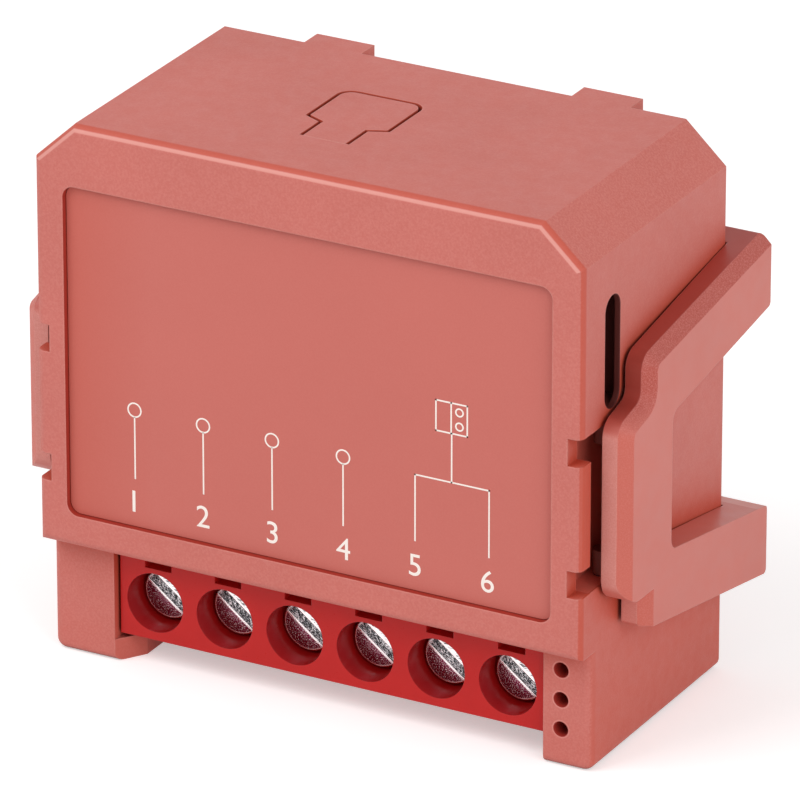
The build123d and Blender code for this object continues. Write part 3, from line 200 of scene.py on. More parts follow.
class Finish:
    """A node material on object coordinates, built up step by step."""

    def __init__(self, name):
        self.material = bpy.data.materials.new(name)
        self.material.use_nodes = True
        self.tree = self.material.node_tree
        self.tree.nodes.clear()
        self.output = self.node("ShaderNodeOutputMaterial")
        self.shader = self.node("ShaderNodeBsdfPrincipled")
        self.link(self.shader.outputs[0], self.output.inputs["Surface"])
        self.place = self.node("ShaderNodeTexCoord").outputs["Object"]

    def node(self, kind, inputs=None, **settings):
        """A node with its settings, and its sockets set or linked."""
        made = self.tree.nodes.new(kind)
        for name, value in settings.items():
            setattr(made, name, value)
        for name, value in (inputs or {}).items():
            if isinstance(value, bpy.types.NodeSocket):
                self.link(value, made.inputs[name])
            else:
                made.inputs[name].default_value = value
        return made

    def link(self, source, target):
        self.tree.links.new(source, target)

    def math(self, operation, first, second=0.0, third=0.0):
        """Result of one arithmetic step."""
        return self.node("ShaderNodeMath", {0: first, 1: second, 2: third}, operation=operation).outputs[0]

    def noise(self, size, detail=3.0, roughness=0.55, place=None):
        """Noise whose lumps are about this size in metres."""
        return self.node("ShaderNodeTexNoise", {
            "Vector": place or self.place, "Scale": 1 / size, "Detail": detail, "Roughness": roughness,
        }).outputs["Fac"]

    def spread(self, value, low, high, start=NOISE_LOW, end=NOISE_HIGH):
        """The value between start and end, stretched from low to high."""
        return self.node("ShaderNodeMapRange", {
            "Value": value, "From Min": start, "From Max": end, "To Min": low, "To Max": high,
        }).outputs["Result"]

    def rising(self, value, start, end):
        """Mask that is 0 up to the start and 1 from the end on."""
        return self.spread(value, 0, 1, start, end)

    def falling(self, value, start, end):
        """Mask that is 1 up to the start and 0 from the end on."""
        return self.spread(value, 1, 0, start, end)

    def above(self, value, limit):
        """1 where the value is over the limit."""
        return self.math("GREATER_THAN", value, limit)

    def below(self, value, limit):
        """1 where the value is under the limit."""
        return self.math("LESS_THAN", value, limit)

    def within(self, value, low, high):
        """1 where the value is between low and high."""
        return self.math("COMPARE", value, (low + high) / 2, (high - low) / 2)

    def both(self, *masks):
        """Product of masks."""
        result = masks[0]
        for mask in masks[1:]:
            result = self.math("MULTIPLY", result, mask)
        return result

    def length(self, first, second):
        """Length of the diagonal over two sides."""
        return self.math("SQRT", self.math("ADD", self.both(first, first), self.both(second, second)))

    def mixed(self, amount, first, second):
        """Colour between two colours."""
        made = self.node("ShaderNodeMix", data_type="RGBA")
        sockets = [socket for socket in made.inputs if socket.enabled]
        for socket, value in zip(sockets, (amount, first, second)):
            if isinstance(value, bpy.types.NodeSocket):
                self.link(value, socket)
            elif hasattr(value, "__len__"):
                socket.default_value = (*tuple(value)[:3], 1)
            else:
                socket.default_value = value
        return next(socket for socket in made.outputs if socket.enabled)

    def tinted(self, colour, amount, size):
        """The colour, a little lighter and darker in soft patches."""
        dark = tuple(value * (1 - amount) for value in tuple(colour)[:3])
        light = tuple(min(1, value * (1 + amount)) for value in tuple(colour)[:3])
        return self.mixed(self.spread(self.noise(size), 0, 1), dark, light)

    def bumped(self, height, distance, strength=1.0, under=None):
        """Normal with this height map on it."""
        inputs = {"Height": height, "Distance": distance, "Strength": strength}
        if under is not None:
            inputs["Normal"] = under
        return self.node("ShaderNodeBump", inputs).outputs["Normal"]

    def rounded(self, radius):
        """Normal that rounds every edge by this radius."""
        return self.node("ShaderNodeBevel", {"Radius": radius}, samples=BEVEL_SAMPLES).outputs["Normal"]

    def edges(self, radius, gain):
        """Mask of the edges, from 0 on flat faces to 1."""
        face = self.node("ShaderNodeNewGeometry").outputs["Normal"]
        lean = self.node("ShaderNodeVectorMath", {0: face, 1: self.rounded(radius)}, operation="DOT_PRODUCT")
        fall = self.math("SUBTRACT", 1.0, lean.outputs["Value"])
        return self.node("ShaderNodeClamp", {"Value": self.math("MULTIPLY", fall, gain)}).outputs["Result"]

    def crevice(self, reach, start, end):
        """Mask of narrow gaps and holes, from 0 in the open to 1 deep inside."""
        open_sky = self.node("ShaderNodeAmbientOcclusion", {"Distance": reach}, samples=SKY_SAMPLES).outputs["AO"]
        return self.falling(open_sky, start, end)

    def axes(self, value=None):
        """The three parts of a direction, or of the place on the object."""
        return self.node("ShaderNodeSeparateXYZ", {"Vector": value or self.place}).outputs[:3]

    def facing(self):
        """How far the surface looks ahead, to either side and up: 1 is straight along, 0 is square to it."""
        right, back, up = self.axes(self.node("ShaderNodeTexCoord").outputs["Normal"])
        return self.math("MULTIPLY", back, -1.0), self.math("ABSOLUTE", right), up

    def shade(self, colour=None, rough=0.5, normal=None, **fixed):
        """Sets the shader's sockets: values directly, maps by links."""
        for name, value in (("Base Color", colour), ("Roughness", rough), ("Normal", normal)):
            if isinstance(value, bpy.types.NodeSocket):
                self.link(value, self.shader.inputs[name])
            elif value is not None:
                self.shader.inputs[name].default_value = (*tuple(value)[:3], 1) if name == "Base Color" else value
        for name, value in fixed.items():
            self.shader.inputs[name.replace("_", " ")].default_value = value
        return self.material


def dress(material, *nodes):
    """Puts one finish on these CAD nodes."""
    for name in nodes:
        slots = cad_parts[name].data.materials
        slots.clear()
        slots.append(material)


def grained_faces(finish, base, settings, pits):
    """Pale grain specks, more of them on faces that look ahead as a painted sheen, and a painted orange shade with more
    specks on the slanted edges.
    """
    slant, slant_band = 0.7, 0.1
    shade_warmth, slant_specks = 0.16, 0.24
    few_specks, more_specks = 0.1, 0.17
    ahead, sideways, _ = finish.facing()
    slanted = finish.math("COMPARE", sideways, slant, slant_band)
    # painted orange shade on the slanted faces
    base = finish.mixed(finish.both(slanted, shade_warmth), base, settings.warm)
    amount = finish.math("MAXIMUM", finish.spread(ahead, few_specks, more_specks, start=0.3, end=0.9),
                         finish.both(slanted, slant_specks))
    # pale grain specks, denser on faces that look ahead: partly grain, partly painted sheen
    specks = finish.both(finish.rising(pits, start=0.42, end=0.62), amount)
    return finish.mixed(specks, base, settings.worn_edge)


def warm_foot(finish, base, settings):
    """Painted orange shade on the side walls, stronger towards the feet."""
    strongest, full_to, none_from = 0.5, 4 * MM, 17 * MM
    _, sideways, _ = finish.facing()
    foot = finish.both(finish.rising(sideways, start=0.6, end=0.9),
                       finish.spread(finish.axes()[2], strongest, 0, full_to, none_from))
    return finish.mixed(foot, base, settings.warm)


def rubbed_edges(finish, base, settings):
    """Pale edges, rubbed more in some places than in others: a painted highlight along the edges, patchy as wear."""
    width, gain, patch = 0.22 * MM, 3.2, 1.2 * MM
    # painted edge highlight, varied in patches as rubbed wear
    rubbed = finish.both(finish.edges(width, gain), finish.spread(finish.noise(patch), 0.35, 0.8))
    return finish.mixed(rubbed, base, settings.worn_edge)


def front_edge_lines(finish, base, settings):
    """A painted highlight line on the front part of the front plate's rounded edge, and a painted orange shade line on
    its back part.
    """
    reach, pale_amount, warm_amount = 0.6 * MM, 0.85, 0.7
    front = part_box("housing")[0][1]
    ahead, _, up = finish.facing()
    front_edge = finish.within(finish.axes()[1], front - 0.1 * MM, front + reach)
    # painted highlight on the edge's front part
    pale = finish.both(finish.falling(ahead, start=0.955, end=0.985), finish.rising(ahead, start=0.74, end=0.84),
                       finish.above(up, 0.1), front_edge)
    # painted shade on the edge's back part
    warm = finish.both(finish.falling(ahead, start=0.72, end=0.8), finish.rising(ahead, start=0.05, end=0.2),
                       finish.above(up, -0.1), front_edge)
    base = finish.mixed(finish.both(pale, pale_amount), base, settings.worn_edge)
    return finish.mixed(finish.both(warm, warm_amount), base, settings.warm)


def corners_and_gaps(finish, base, settings):
    """Painted orange shade in inner corners, less of it near the floor, and painted dark shade in narrow gaps."""
    corner_reach, gap_reach = 3.5 * MM, 2 * MM
    off_floor = finish.spread(finish.axes()[2], 0.1, 1, start=1 * MM, end=6 * MM)
    # painted shade in the corners, from the ambient occlusion mask
    corners = finish.both(finish.crevice(corner_reach, start=0.45, end=0.97), off_floor)
    base = finish.mixed(corners, base, settings.warm)
    return finish.mixed(finish.crevice(gap_reach, start=0.06, end=0.36), base, settings.gap)


def label_recess(finish, base, settings):
    """Painted deep red shade on the walls of the recess round the label panel."""
    margin, bevel = 0.3 * MM, 0.03 * MM
    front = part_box("housing")[0][1]
    low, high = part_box("label_panel")
    x, y, z = finish.axes()
    recess = finish.both(finish.within(x, low[0] - margin, high[0] + margin),
                         finish.within(y, front + bevel, high[1] + margin),
                         finish.within(z, low[2] - margin, high[2] + margin))
    return finish.mixed(recess, base, settings.deep_red)


def vent_mask(finish, settings):
    """1 on the walls of the long vents, and on the thinned wall's inner side round them."""
    thinned_wall, thinned_margin, clearance = 0.36 * MM, 1.2 * MM, 0.03 * MM
    low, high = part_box("housing")
    x, y, z = finish.axes()
    middle = high[2] - settings.vent_drop - settings.vent_length / 2
    straight = (settings.vent_length - settings.vent_width) / 2
    rise = finish.math("ABSOLUTE", finish.math("SUBTRACT", z, middle))
    rise = finish.math("MAXIMUM", finish.math("SUBTRACT", rise, straight), 0.0)
    away = finish.length(rise, finish.math("SUBTRACT", y, low[1] + settings.vent_depth))
    behind = finish.below(finish.math("ABSOLUTE", x), high[0] - thinned_wall)
    reach = finish.math("ADD", finish.both(behind, thinned_margin), settings.vent_width / 2 + clearance)
    return finish.below(away, reach)


def dark_inside(finish, base, settings):
    """Painted dark shade on the inner faces of the housing and in the vents."""
    low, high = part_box("housing")
    front_wall_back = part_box("label_panel")[1][1] + 0.8 * MM
    cover_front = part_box("rear_cover")[0][1]
    terminal_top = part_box("terminal_housing")[1][2]
    x, y, z = finish.axes()
    inside = finish.both(finish.within(x, low[0] + settings.wall, high[0] - settings.wall),
                         finish.within(y, front_wall_back, cover_front - 1 * MM),
                         finish.within(z, terminal_top, high[2] - settings.wall))
    return finish.mixed(finish.math("MAXIMUM", inside, vent_mask(finish, settings)), base, settings.hollow)


def clip_pockets(finish, base, settings):
    """Painted light on the walls of the dim clip pockets, and painted orange shade on the face in front of each."""
    edge, lip_start, lip_end, lip_amount = 0.1 * MM, 0.3 * MM, 1.3 * MM, 0.75
    low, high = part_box("housing")
    x, y, z = finish.axes()
    outwards = finish.math("ABSOLUTE", x)
    beside_clip = finish.within(z, settings.pocket_low, settings.pocket_high)
    pocket = finish.both(finish.within(outwards, high[0] - settings.pocket_sink, high[0] - edge),
                         finish.within(y, low[1] + settings.pocket_front, low[1] + settings.pocket_back), beside_clip)
    lip_shade = finish.both(finish.within(outwards, high[0] - edge, high[0] + edge),
                      finish.within(y, low[1] + lip_start, low[1] + lip_end), beside_clip)
    # painted light on the walls of the dim pockets
    base = finish.mixed(pocket, base, settings.pocket)
    return finish.mixed(finish.both(lip_shade, lip_amount), base, settings.warm)


def light_hole_distance(finish, settings):
    """Distance from the nearest light hole's axis, plus one metre above, below and behind the holes."""
    lamp_low, lamp_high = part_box("status_leds")
    x, y, z = finish.axes()
    pitch = settings.light_hole_pitch
    across = finish.math("SUBTRACT", x, (lamp_low[0] + lamp_high[0]) / 2)
    along = finish.math("SUBTRACT", z, settings.light_hole_middle)
    past_row = finish.above(finish.math("ABSOLUTE", along), 1.5 * pitch)
    behind = finish.above(y, lamp_high[1])
    up = finish.math("WRAP", along, -pitch / 2, pitch / 2)
    return finish.math("ADD", finish.length(across, up), finish.math("MAXIMUM", past_row, behind))


def light_holes(finish, base, settings):
    """Painted red shade inside the light holes, and a faint painted highlight rim round each."""
    rim, rim_amount, clearance = 0.12 * MM, 0.3, 0.02 * MM
    away, radius = light_hole_distance(finish, settings), settings.light_hole_radius
    # painted highlight rim round each hole
    base = finish.mixed(finish.both(finish.within(away, radius, radius + rim), rim_amount), base, settings.worn_edge)
    return finish.mixed(finish.below(away, radius + clearance), base, settings.light_hole)


def coral_shell(settings):
    """Spark-eroded coral moulding with rubbed edges, and painted highlights and painted shade in its colour."""
    patch, patch_tint, relief, rounding, dull_spots = 9 * MM, 0.035, 0.9, 0.12 * MM, 0.9 * MM
    finish = Finish("coral_shell")
    pits = finish.noise(settings.grain, detail=4, roughness=0.65)
    base = grained_faces(finish, finish.tinted(settings.shell, patch_tint, patch), settings, pits)
    for layer in (warm_foot, rubbed_edges, front_edge_lines, corners_and_gaps, label_recess, dark_inside,
                  clip_pockets, light_holes):
        base = layer(finish, base, settings)
    normal = finish.bumped(pits, settings.grain_depth, relief, finish.rounded(rounding))
    rough = finish.spread(finish.noise(dull_spots), 0.46, 0.6)
    return finish.shade(base, rough, normal, IOR=1.47, Specular_IOR_Level=0.36)


def clip_arms(finish, base, settings, slanted):
    """Painted orange shade on slanted faces that look ahead, and painted deep red shade on the upper arms, with the
    mask of these arms.
    """
    shade_warmth, arms_start, arms_full = 0.42, 22.5 * MM, 23.8 * MM
    ahead, sideways, up = finish.facing()
    raised = finish.math("MAXIMUM", finish.rising(up, start=0.12, end=0.4), finish.above(ahead, 0.3))
    raised = finish.both(raised, finish.rising(finish.axes()[2], arms_start, arms_full))
    base = finish.mixed(finish.both(finish.rising(ahead, start=0.45, end=0.65), slanted, shade_warmth), base, settings.warm)
    # painted deep red shade on the upper arms
    red = finish.both(raised, finish.spread(sideways, 0.85, 0.55, start=0.4, end=0.8))
    return finish.mixed(red, base, settings.deep_red), raised


def clip_specks(finish, base, settings, slanted, raised, sand):
    """Pale specks: painted glints on the sandy grain, most on the arms' slanted faces, and painted highlight specks on
    the faces that look straight ahead.
    """
    ahead = finish.facing()[0]
    # painted glints on the sandy grain
    sparkle = finish.both(slanted, finish.spread(sand, 0, 0.6, start=0.45, end=0.72),
                          finish.spread(raised, 0.45, 1, start=0, end=1))
    base = finish.mixed(sparkle, base, settings.worn_edge)
    # painted highlight specks on faces that look straight ahead
    plain = finish.both(finish.rising(ahead, start=0.85, end=0.97), finish.spread(sand, 0.3, 0.85, start=0.35, end=0.7))
    return finish.mixed(finish.both(plain, finish.falling(raised, start=0, end=0.4)), base, settings.worn_edge)


def clip_ends(finish, base, settings):
    """Painted highlight on the tops of the lower hooks, and painted dark shade on the ears that lie in the pockets."""
    hook_length, hook_amount, ear_reach, ear_depth, ear_amount = 1.3 * MM, 0.55, 0.2 * MM, 9 * MM, 0.8
    low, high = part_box("housing")
    clip_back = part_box("clip_right")[1][1]
    x, y, z = finish.axes()
    up = finish.facing()[2]
    hook_top_highlight = finish.both(finish.above(y, clip_back - hook_length), finish.falling(z, start=18 * MM, end=20 * MM),
                           finish.above(up, 0.5), hook_amount)
    base = finish.mixed(hook_top_highlight, base, settings.worn_edge)
    # painted dark shade on the ears inside the pockets
    ears = finish.both(finish.within(x, low[0] - ear_reach, high[0] + ear_reach),
                       finish.within(y, low[1], low[1] + ear_depth), ear_amount)
    return finish.mixed(ears, base, settings.ear)


def coral_clip(settings):
    """Smoother coral moulding, with sandy bevels where the tool was left rough, and painted highlights and painted
    shade in its colour.
    """
    patch, patch_tint, relief, rounding = 6 * MM, 0.03, 0.9, 0.1 * MM
    slant, slant_band, sand_height, slant_dullness = 0.68, 0.22, 0.016 * MM, 0.12
    edge_width, edge_gain, edge_amount, gap_reach = 0.15 * MM, 3.0, 0.45, 2 * MM
    finish = Finish("coral_clip")
    slanted = finish.math("COMPARE", finish.facing()[1], slant, slant_band)
    sand = finish.noise(0.09 * MM, detail=5, roughness=0.8)
    grain = finish.noise(settings.grain * 0.7, detail=3, roughness=0.6)
    base, raised = clip_arms(finish, finish.tinted(settings.clip, patch_tint, patch), settings, slanted)
    base = clip_specks(finish, base, settings, slanted, raised, sand)
    # painted highlight along the edges
    base = finish.mixed(finish.both(finish.edges(edge_width, edge_gain), edge_amount), base, settings.worn_edge)
    # painted dark shade in narrow gaps
    base = finish.mixed(finish.crevice(gap_reach, start=0.03, end=0.25), base, settings.gap)
    base = clip_ends(finish, base, settings)
    height = finish.math("ADD", finish.both(slanted, sand), finish.both(grain, 0.25))
    normal = finish.bumped(height, sand_height, relief, finish.rounded(rounding))
    rough = finish.math("ADD", finish.spread(finish.noise(1.5 * MM), 0.36, 0.46), finish.both(slanted, slant_dullness))
    return finish.shade(base, rough, normal, IOR=1.49, Specular_IOR_Level=0.42)


def label_film(settings):
    """Flat matte film of the label panel, with painted orange shade towards its left edge."""
    patch, patch_tint, tooth_size, tooth_height, tooth_tint = 12 * MM, 0.018, 0.12 * MM, 0.004 * MM, 0.05
    warm_width, warm_amount = 6 * MM, 0.34
    finish = Finish("label_coral")
    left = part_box("label_panel")[0][0]
    tooth = finish.noise(tooth_size, detail=3, roughness=0.7)
    base = finish.tinted(settings.label, patch_tint, patch)
    base = finish.mixed(finish.spread(tooth, 0, tooth_tint, start=0.4, end=0.65), base, settings.worn_edge)
    left_edge_shade = finish.spread(finish.axes()[0], warm_amount, 0, left, left + warm_width)
    base = finish.mixed(left_edge_shade, base, settings.warm)
    return finish.shade(base, finish.spread(finish.noise(0.7 * MM), 0.58, 0.66),
                        finish.bumped(tooth, tooth_height, 0.7), Specular_IOR_Level=0.3)


def pole_places(finish):
    """Place across and up from the nearest screw's axis, and the distance from it."""
    first_low, first_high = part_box("terminal_screw_1")
    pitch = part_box("terminal_screw_2")[0][0] - first_low[0]
    x, _, z = finish.axes()
    along = finish.math("SUBTRACT", x, (first_low[0] + first_high[0]) / 2)
    across = finish.math("WRAP", along, -pitch / 2, pitch / 2)
    up = finish.math("SUBTRACT", z, (first_low[2] + first_high[2]) / 2)
    return across, up, finish.length(across, up)


def terminal_red(settings):
    """Semi-gloss red moulding of the terminal, with painted edge highlights and painted shade in the screw wells."""
    patch, patch_tint, edge_width, edge_gain, edge_amount = 4 * MM, 0.05, 0.12 * MM, 3.0, 0.3
    flow_height, fine_height, relief, rounding, clearance = 0.01 * MM, 0.002 * MM, 0.5, 0.09 * MM, 0.02 * MM
    finish = Finish("terminal_red")
    flow = finish.noise(1.1 * MM, detail=2, roughness=0.5)
    fine = finish.noise(0.12 * MM, detail=3, roughness=0.6)
    # painted highlight along the moulding's edges
    base = finish.mixed(finish.both(finish.edges(edge_width, edge_gain), edge_amount),
                        finish.tinted(settings.body, patch_tint, patch), settings.body_edge)
    # painted shade inside the screw wells
    well_shade_mask = finish.below(pole_places(finish)[2], settings.well_radius + clearance)
    base = finish.mixed(well_shade_mask, base, settings.well)
    under = finish.bumped(flow, flow_height, relief, finish.rounded(rounding))
    return finish.shade(base, finish.spread(fine, 0.27, 0.36), finish.bumped(fine, fine_height, relief, under),
                        IOR=1.45, Specular_IOR_Level=0.28, Coat_Weight=0.05, Coat_Roughness=0.2)


def plated_screws(settings):
    """Turned and plated screws with painted reflections: highlights along the slot and the rim, a dark reflection of
    the well below the slot, grey shade in the slot and streak reflections above it.
    """
    scratch_size, scratch_stretch, speck_size = 0.09 * MM, 0.12, 0.07 * MM
    ring_height, speck_height = 0.002 * MM, 0.004 * MM
    low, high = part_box("terminal_screw_1")
    finish = Finish("plated_steel")
    across, up, radius = pole_places(finish)
    off_slot = finish.math("ADD", finish.both(across, math.sin(settings.slot_angle)),
                           finish.both(up, math.cos(settings.slot_angle)))
    from_middle = finish.math("ABSOLUTE", off_slot)
    half = settings.slot_width / 2
    lay = finish.node("ShaderNodeMapping", {
        "Vector": finish.place, "Rotation": (0, -settings.slot_angle, 0), "Scale": (scratch_stretch, 1, 1)})
    scratches = finish.noise(scratch_size, detail=3, roughness=0.7, place=lay.outputs["Vector"])
    specks = finish.noise(speck_size, detail=3, roughness=0.7)
    # painted shade in the slot, with bright scratches
    slot_shade = finish.mixed(finish.rising(scratches, start=0.48, end=0.54), settings.screw_grey, settings.screw)
    # painted dark reflection of the well, with bright specks
    well_reflection = finish.mixed(finish.rising(specks, start=0.55, end=0.62), settings.screw_dark, settings.screw)
    # painted streak reflections on the land above the slot
    streak_reflections = finish.mixed(finish.rising(scratches, start=0.4, end=0.52), settings.screw_grey, settings.screw)
    base = finish.mixed(finish.below(off_slot, -half), slot_shade, well_reflection)
    base = finish.mixed(finish.above(off_slot, half), base, streak_reflections)
    # painted highlights along the slot's edges and round the rim
    line = finish.within(from_middle, half, half + settings.line)
    rim = finish.above(radius, (high[2] - low[2]) / 2 - settings.rim)
    base = finish.mixed(finish.math("MAXIMUM", line, rim), base, settings.screw)
    rings = finish.math("SINE", finish.both(radius, FULL_TURN / settings.turning))
    under = finish.bumped(finish.rising(rings, start=-1, end=1), ring_height, 0.5, finish.rounded(SMALL_ROUNDING))
    return finish.shade(base, finish.spread(specks, 0.12, 0.3), finish.bumped(specks, speck_height, 0.8, under),
                        Metallic=1.0)


def ink(settings):
    """Pale printing ink."""
    thinnest = 0.12
    finish = Finish("print_ink")
    specks = finish.noise(0.06 * MM, detail=3, roughness=0.7)
    base = finish.mixed(finish.spread(specks, 0, thinnest, start=0.55, end=0.75), settings.ink, settings.thin_ink)
    return finish.shade(base, finish.spread(specks, 0.5, 0.62), Specular_IOR_Level=0.3)


def moulded(name, colour, rough=0.45, grain=0.2 * MM, depth=0.004 * MM, tint=0.06, **fixed):
    """Moulded or cast surface with fine grain, and a painted highlight along its edges."""
    patch, edge_width, edge_gain, edge_amount, dullness = 2 * MM, 0.1 * MM, 3.0, 0.3, 0.06
    # pale colour for a painted highlight along the edges
    pale = tuple(min(1, value * 1.5 + 0.03) for value in colour)
    finish = Finish(name)
    lumps = finish.noise(grain, detail=4, roughness=0.6)
    base = finish.mixed(finish.both(finish.edges(edge_width, edge_gain), edge_amount),
                        finish.tinted(colour, tint, patch), pale)
    return finish.shade(base, finish.spread(lumps, rough - dullness, rough + dullness),
                        finish.bumped(lumps, depth, 0.8, finish.rounded(SMALL_ROUNDING)), **fixed)


def brushed(name, colour, rough=0.3, stretch=(1, 1, 14), **fixed):
    """Rolled or drawn metal with lines along one way."""
    line_size, line_height, dullness, tarnish_patch, most_tarnish = 0.06 * MM, 0.0025 * MM, 0.09, 1.5 * MM, 0.6
    tarnish = tuple(value * 0.82 for value in colour)
    finish = Finish(name)
    lines = finish.node("ShaderNodeMapping", {"Vector": finish.place, "Scale": tuple(1 / value for value in stretch)})
    lay = finish.noise(line_size, detail=3, roughness=0.6, place=lines.outputs["Vector"])
    base = finish.mixed(finish.spread(finish.noise(tarnish_patch), 0, most_tarnish), colour, tarnish)
    return finish.shade(base, finish.spread(lay, rough - dullness, rough + dullness),
                        finish.bumped(lay, line_height, 0.7, finish.rounded(SMALL_ROUNDING)), Metallic=1.0, **fixed)


def wound(name, colour, wire, metallic, gloss=0.3):
    """Turns of wire or tape laid side by side from front to back."""
    finish = Finish(name)
    wave = finish.math("SINE", finish.both(finish.axes()[1], FULL_TURN / wire))
    turns = finish.rising(wave, start=-1, end=1)
    shade = tuple(value * 0.55 for value in colour)
    base = finish.mixed(finish.math("POWER", turns, 0.5), shade, colour)
    waver = finish.spread(finish.noise(0.4 * MM), gloss - 0.05, gloss + 0.1)
    return finish.shade(base, waver, finish.bumped(turns, wire / 4, 0.8), Metallic=metallic)


def etched_board(name, mask, copper):
    """Solder mask over faint tracks, with a glossy lacquer."""
    patch, patch_tint, track_height, track_patch = 3 * MM, 0.08, 0.02 * MM, 4 * MM
    finish = Finish(name)
    upright = finish.node("ShaderNodeMapping", {"Vector": finish.place, "Rotation": (math.pi / 2, 0, 0)})
    cells = finish.node("ShaderNodeTexBrick", {
        "Vector": upright.outputs["Vector"], "Scale": 420.0, "Mortar Size": 0.035, "Mortar Smooth": 0.2,
        "Brick Width": 0.9, "Row Height": 0.42, "Color1": (0, 0, 0, 1), "Color2": (0.2, 0.2, 0.2, 1),
        "Mortar": (1, 1, 1, 1),
    })
    tracks = finish.both(cells.outputs["Color"], finish.rising(finish.noise(track_patch), start=0.4, end=0.5))
    base = finish.mixed(tracks, finish.tinted(mask, patch_tint, patch), copper)
    lacquer = finish.noise(0.3 * MM, detail=2, roughness=0.5)
    return finish.shade(base, finish.spread(lacquer, 0.24, 0.34), finish.bumped(tracks, track_height, 0.6),
                        Coat_Weight=0.3, Coat_Roughness=0.12)


def ring(centre, radius, stroke, near, far):
    """A printed ring: a square profile spun about the ring's axis."""
    made = bmesh.new()
    inner, outer = radius - stroke / 2, radius + stroke / 2
    corners = [made.verts.new((x, y, 0)) for x, y in ((inner, near), (outer, near), (outer, far), (inner, far))]
    sides = [made.edges.new((corners[i], corners[(i + 1) % 4])) for i in range(4)]
    bmesh.ops.spin(made, geom=corners + sides, axis=(0, 1, 0), cent=(0, 0, 0), steps=RING_STEPS, angle=FULL_TURN,
                   use_merge=True)
    bmesh.ops.remove_doubles(made, verts=made.verts, dist=MERGE_DISTANCE)
    bmesh.ops.recalc_face_normals(made, faces=made.faces)
    bmesh.ops.translate(made, vec=(centre[0], 0, centre[1]), verts=made.verts)
    return made


def stroke_between(start, end, stroke, near, far):
    """A straight printed line."""
    run = Vector((end[0] - start[0], end[1] - start[1]))
    turn = Matrix.Rotation(-math.atan2(run.y, run.x), 3, "Y")
    made = bmesh.new()
    bmesh.ops.create_cube(made, size=1)
    bmesh.ops.scale(made, vec=(run.length + stroke, far - near, stroke), verts=made.verts)
    bmesh.ops.translate(made, vec=(0, (near + far) / 2, 0), verts=made.verts)
    bmesh.ops.rotate(made, cent=(0, 0, 0), matrix=turn, verts=made.verts)
    bmesh.ops.translate(made, vec=((start[0] + end[0]) / 2, 0, (start[1] + end[1]) / 2), verts=made.verts)
    return made


def digit_shape(text, height, x, near, far):
    """A printed digit, centred on the numbers' line."""
    curve = bpy.data.curves.new(f"digit_{text}", "FONT")
    curve.body = text
    curve.align_x = "CENTER"
    curve.align_y = "CENTER"
    curve.size = height / DIGIT_SHARE
    curve.extrude = (far - near) / 2
    curve.resolution_u = 6
    holder = bpy.data.objects.new(f"digit_{text}", curve)
    mesh = bpy.data.meshes.new_from_object(holder)
    shape = bmesh.new()
    shape.from_mesh(mesh)
    bmesh.ops.remove_doubles(shape, verts=shape.verts, dist=MERGE_DISTANCE)
    bmesh.ops.rotate(shape, cent=(0, 0, 0), matrix=Matrix.Rotation(math.pi / 2, 3, "X"), verts=shape.verts)
    bmesh.ops.translate(shape, vec=(x * MM, (near + far) / 2, NUMBER_LINE * MM), verts=shape.verts)
    bpy.data.objects.remove(holder)
    bpy.data.curves.remove(curve)
    bpy.data.meshes.remove(mesh)
    return shape


def printed(name, shapes, material):
    """Joins printed shapes into one piece on the module."""
    mesh = bpy.data.meshes.new(name)
    whole = bmesh.new()
    for shape in shapes:
        part = bpy.data.meshes.new("part")
        shape.to_mesh(part)
        shape.free()
        whole.from_mesh(part)
        bpy.data.meshes.remove(part)
    whole.to_mesh(mesh)
    whole.free()
    mesh.materials.append(material)
    piece = bpy.data.objects.new(name, mesh)
    bpy.context.scene.collection.objects.link(piece)
    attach(piece, "module")


def ink_depths(settings):
    """Where the print starts and ends, in front of the label panel."""
    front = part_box("label_panel")[0][1]
    return front - settings.film, front + settings.film / 2


def in_metres(pairs):
    """Places in metres, from places in millimetres."""
    return [(x * MM, z * MM) for x, z in pairs]


class CONTROLLER_OT_coral(bpy.types.Operator):
    """Finish the coral housing, its cover, the press tongue, the label panel and the side clips"""

    bl_idname = "controller.coral"
    bl_label = "Coral mouldings"

    def execute(self, context):
        settings = context.scene.controller_coral
        dress(coral_shell(settings), "housing", "rear_cover", "button_tongue")
        dress(coral_clip(settings), "clip_left", "clip_right")
        dress(label_film(settings), "label_panel")
        return {"FINISHED"}


class CONTROLLER_OT_terminal(bpy.types.Operator):
    """Finish the screw terminal with its screws and cages"""

    bl_idname = "controller.terminal"
    bl_label = "Screw terminal"

    def execute(self, context):
        settings = context.scene.controller_terminal
        dress(terminal_red(settings), "terminal_housing")
        dress(plated_screws(settings), *[f"terminal_screw_{pole}" for pole in POLES])
        dress(brushed("nickel_brass", (0.68, 0.62, 0.50), 0.32, (1, 12, 1)), *[f"clamp_cage_{pole}" for pole in POLES])
        return {"FINISHED"}


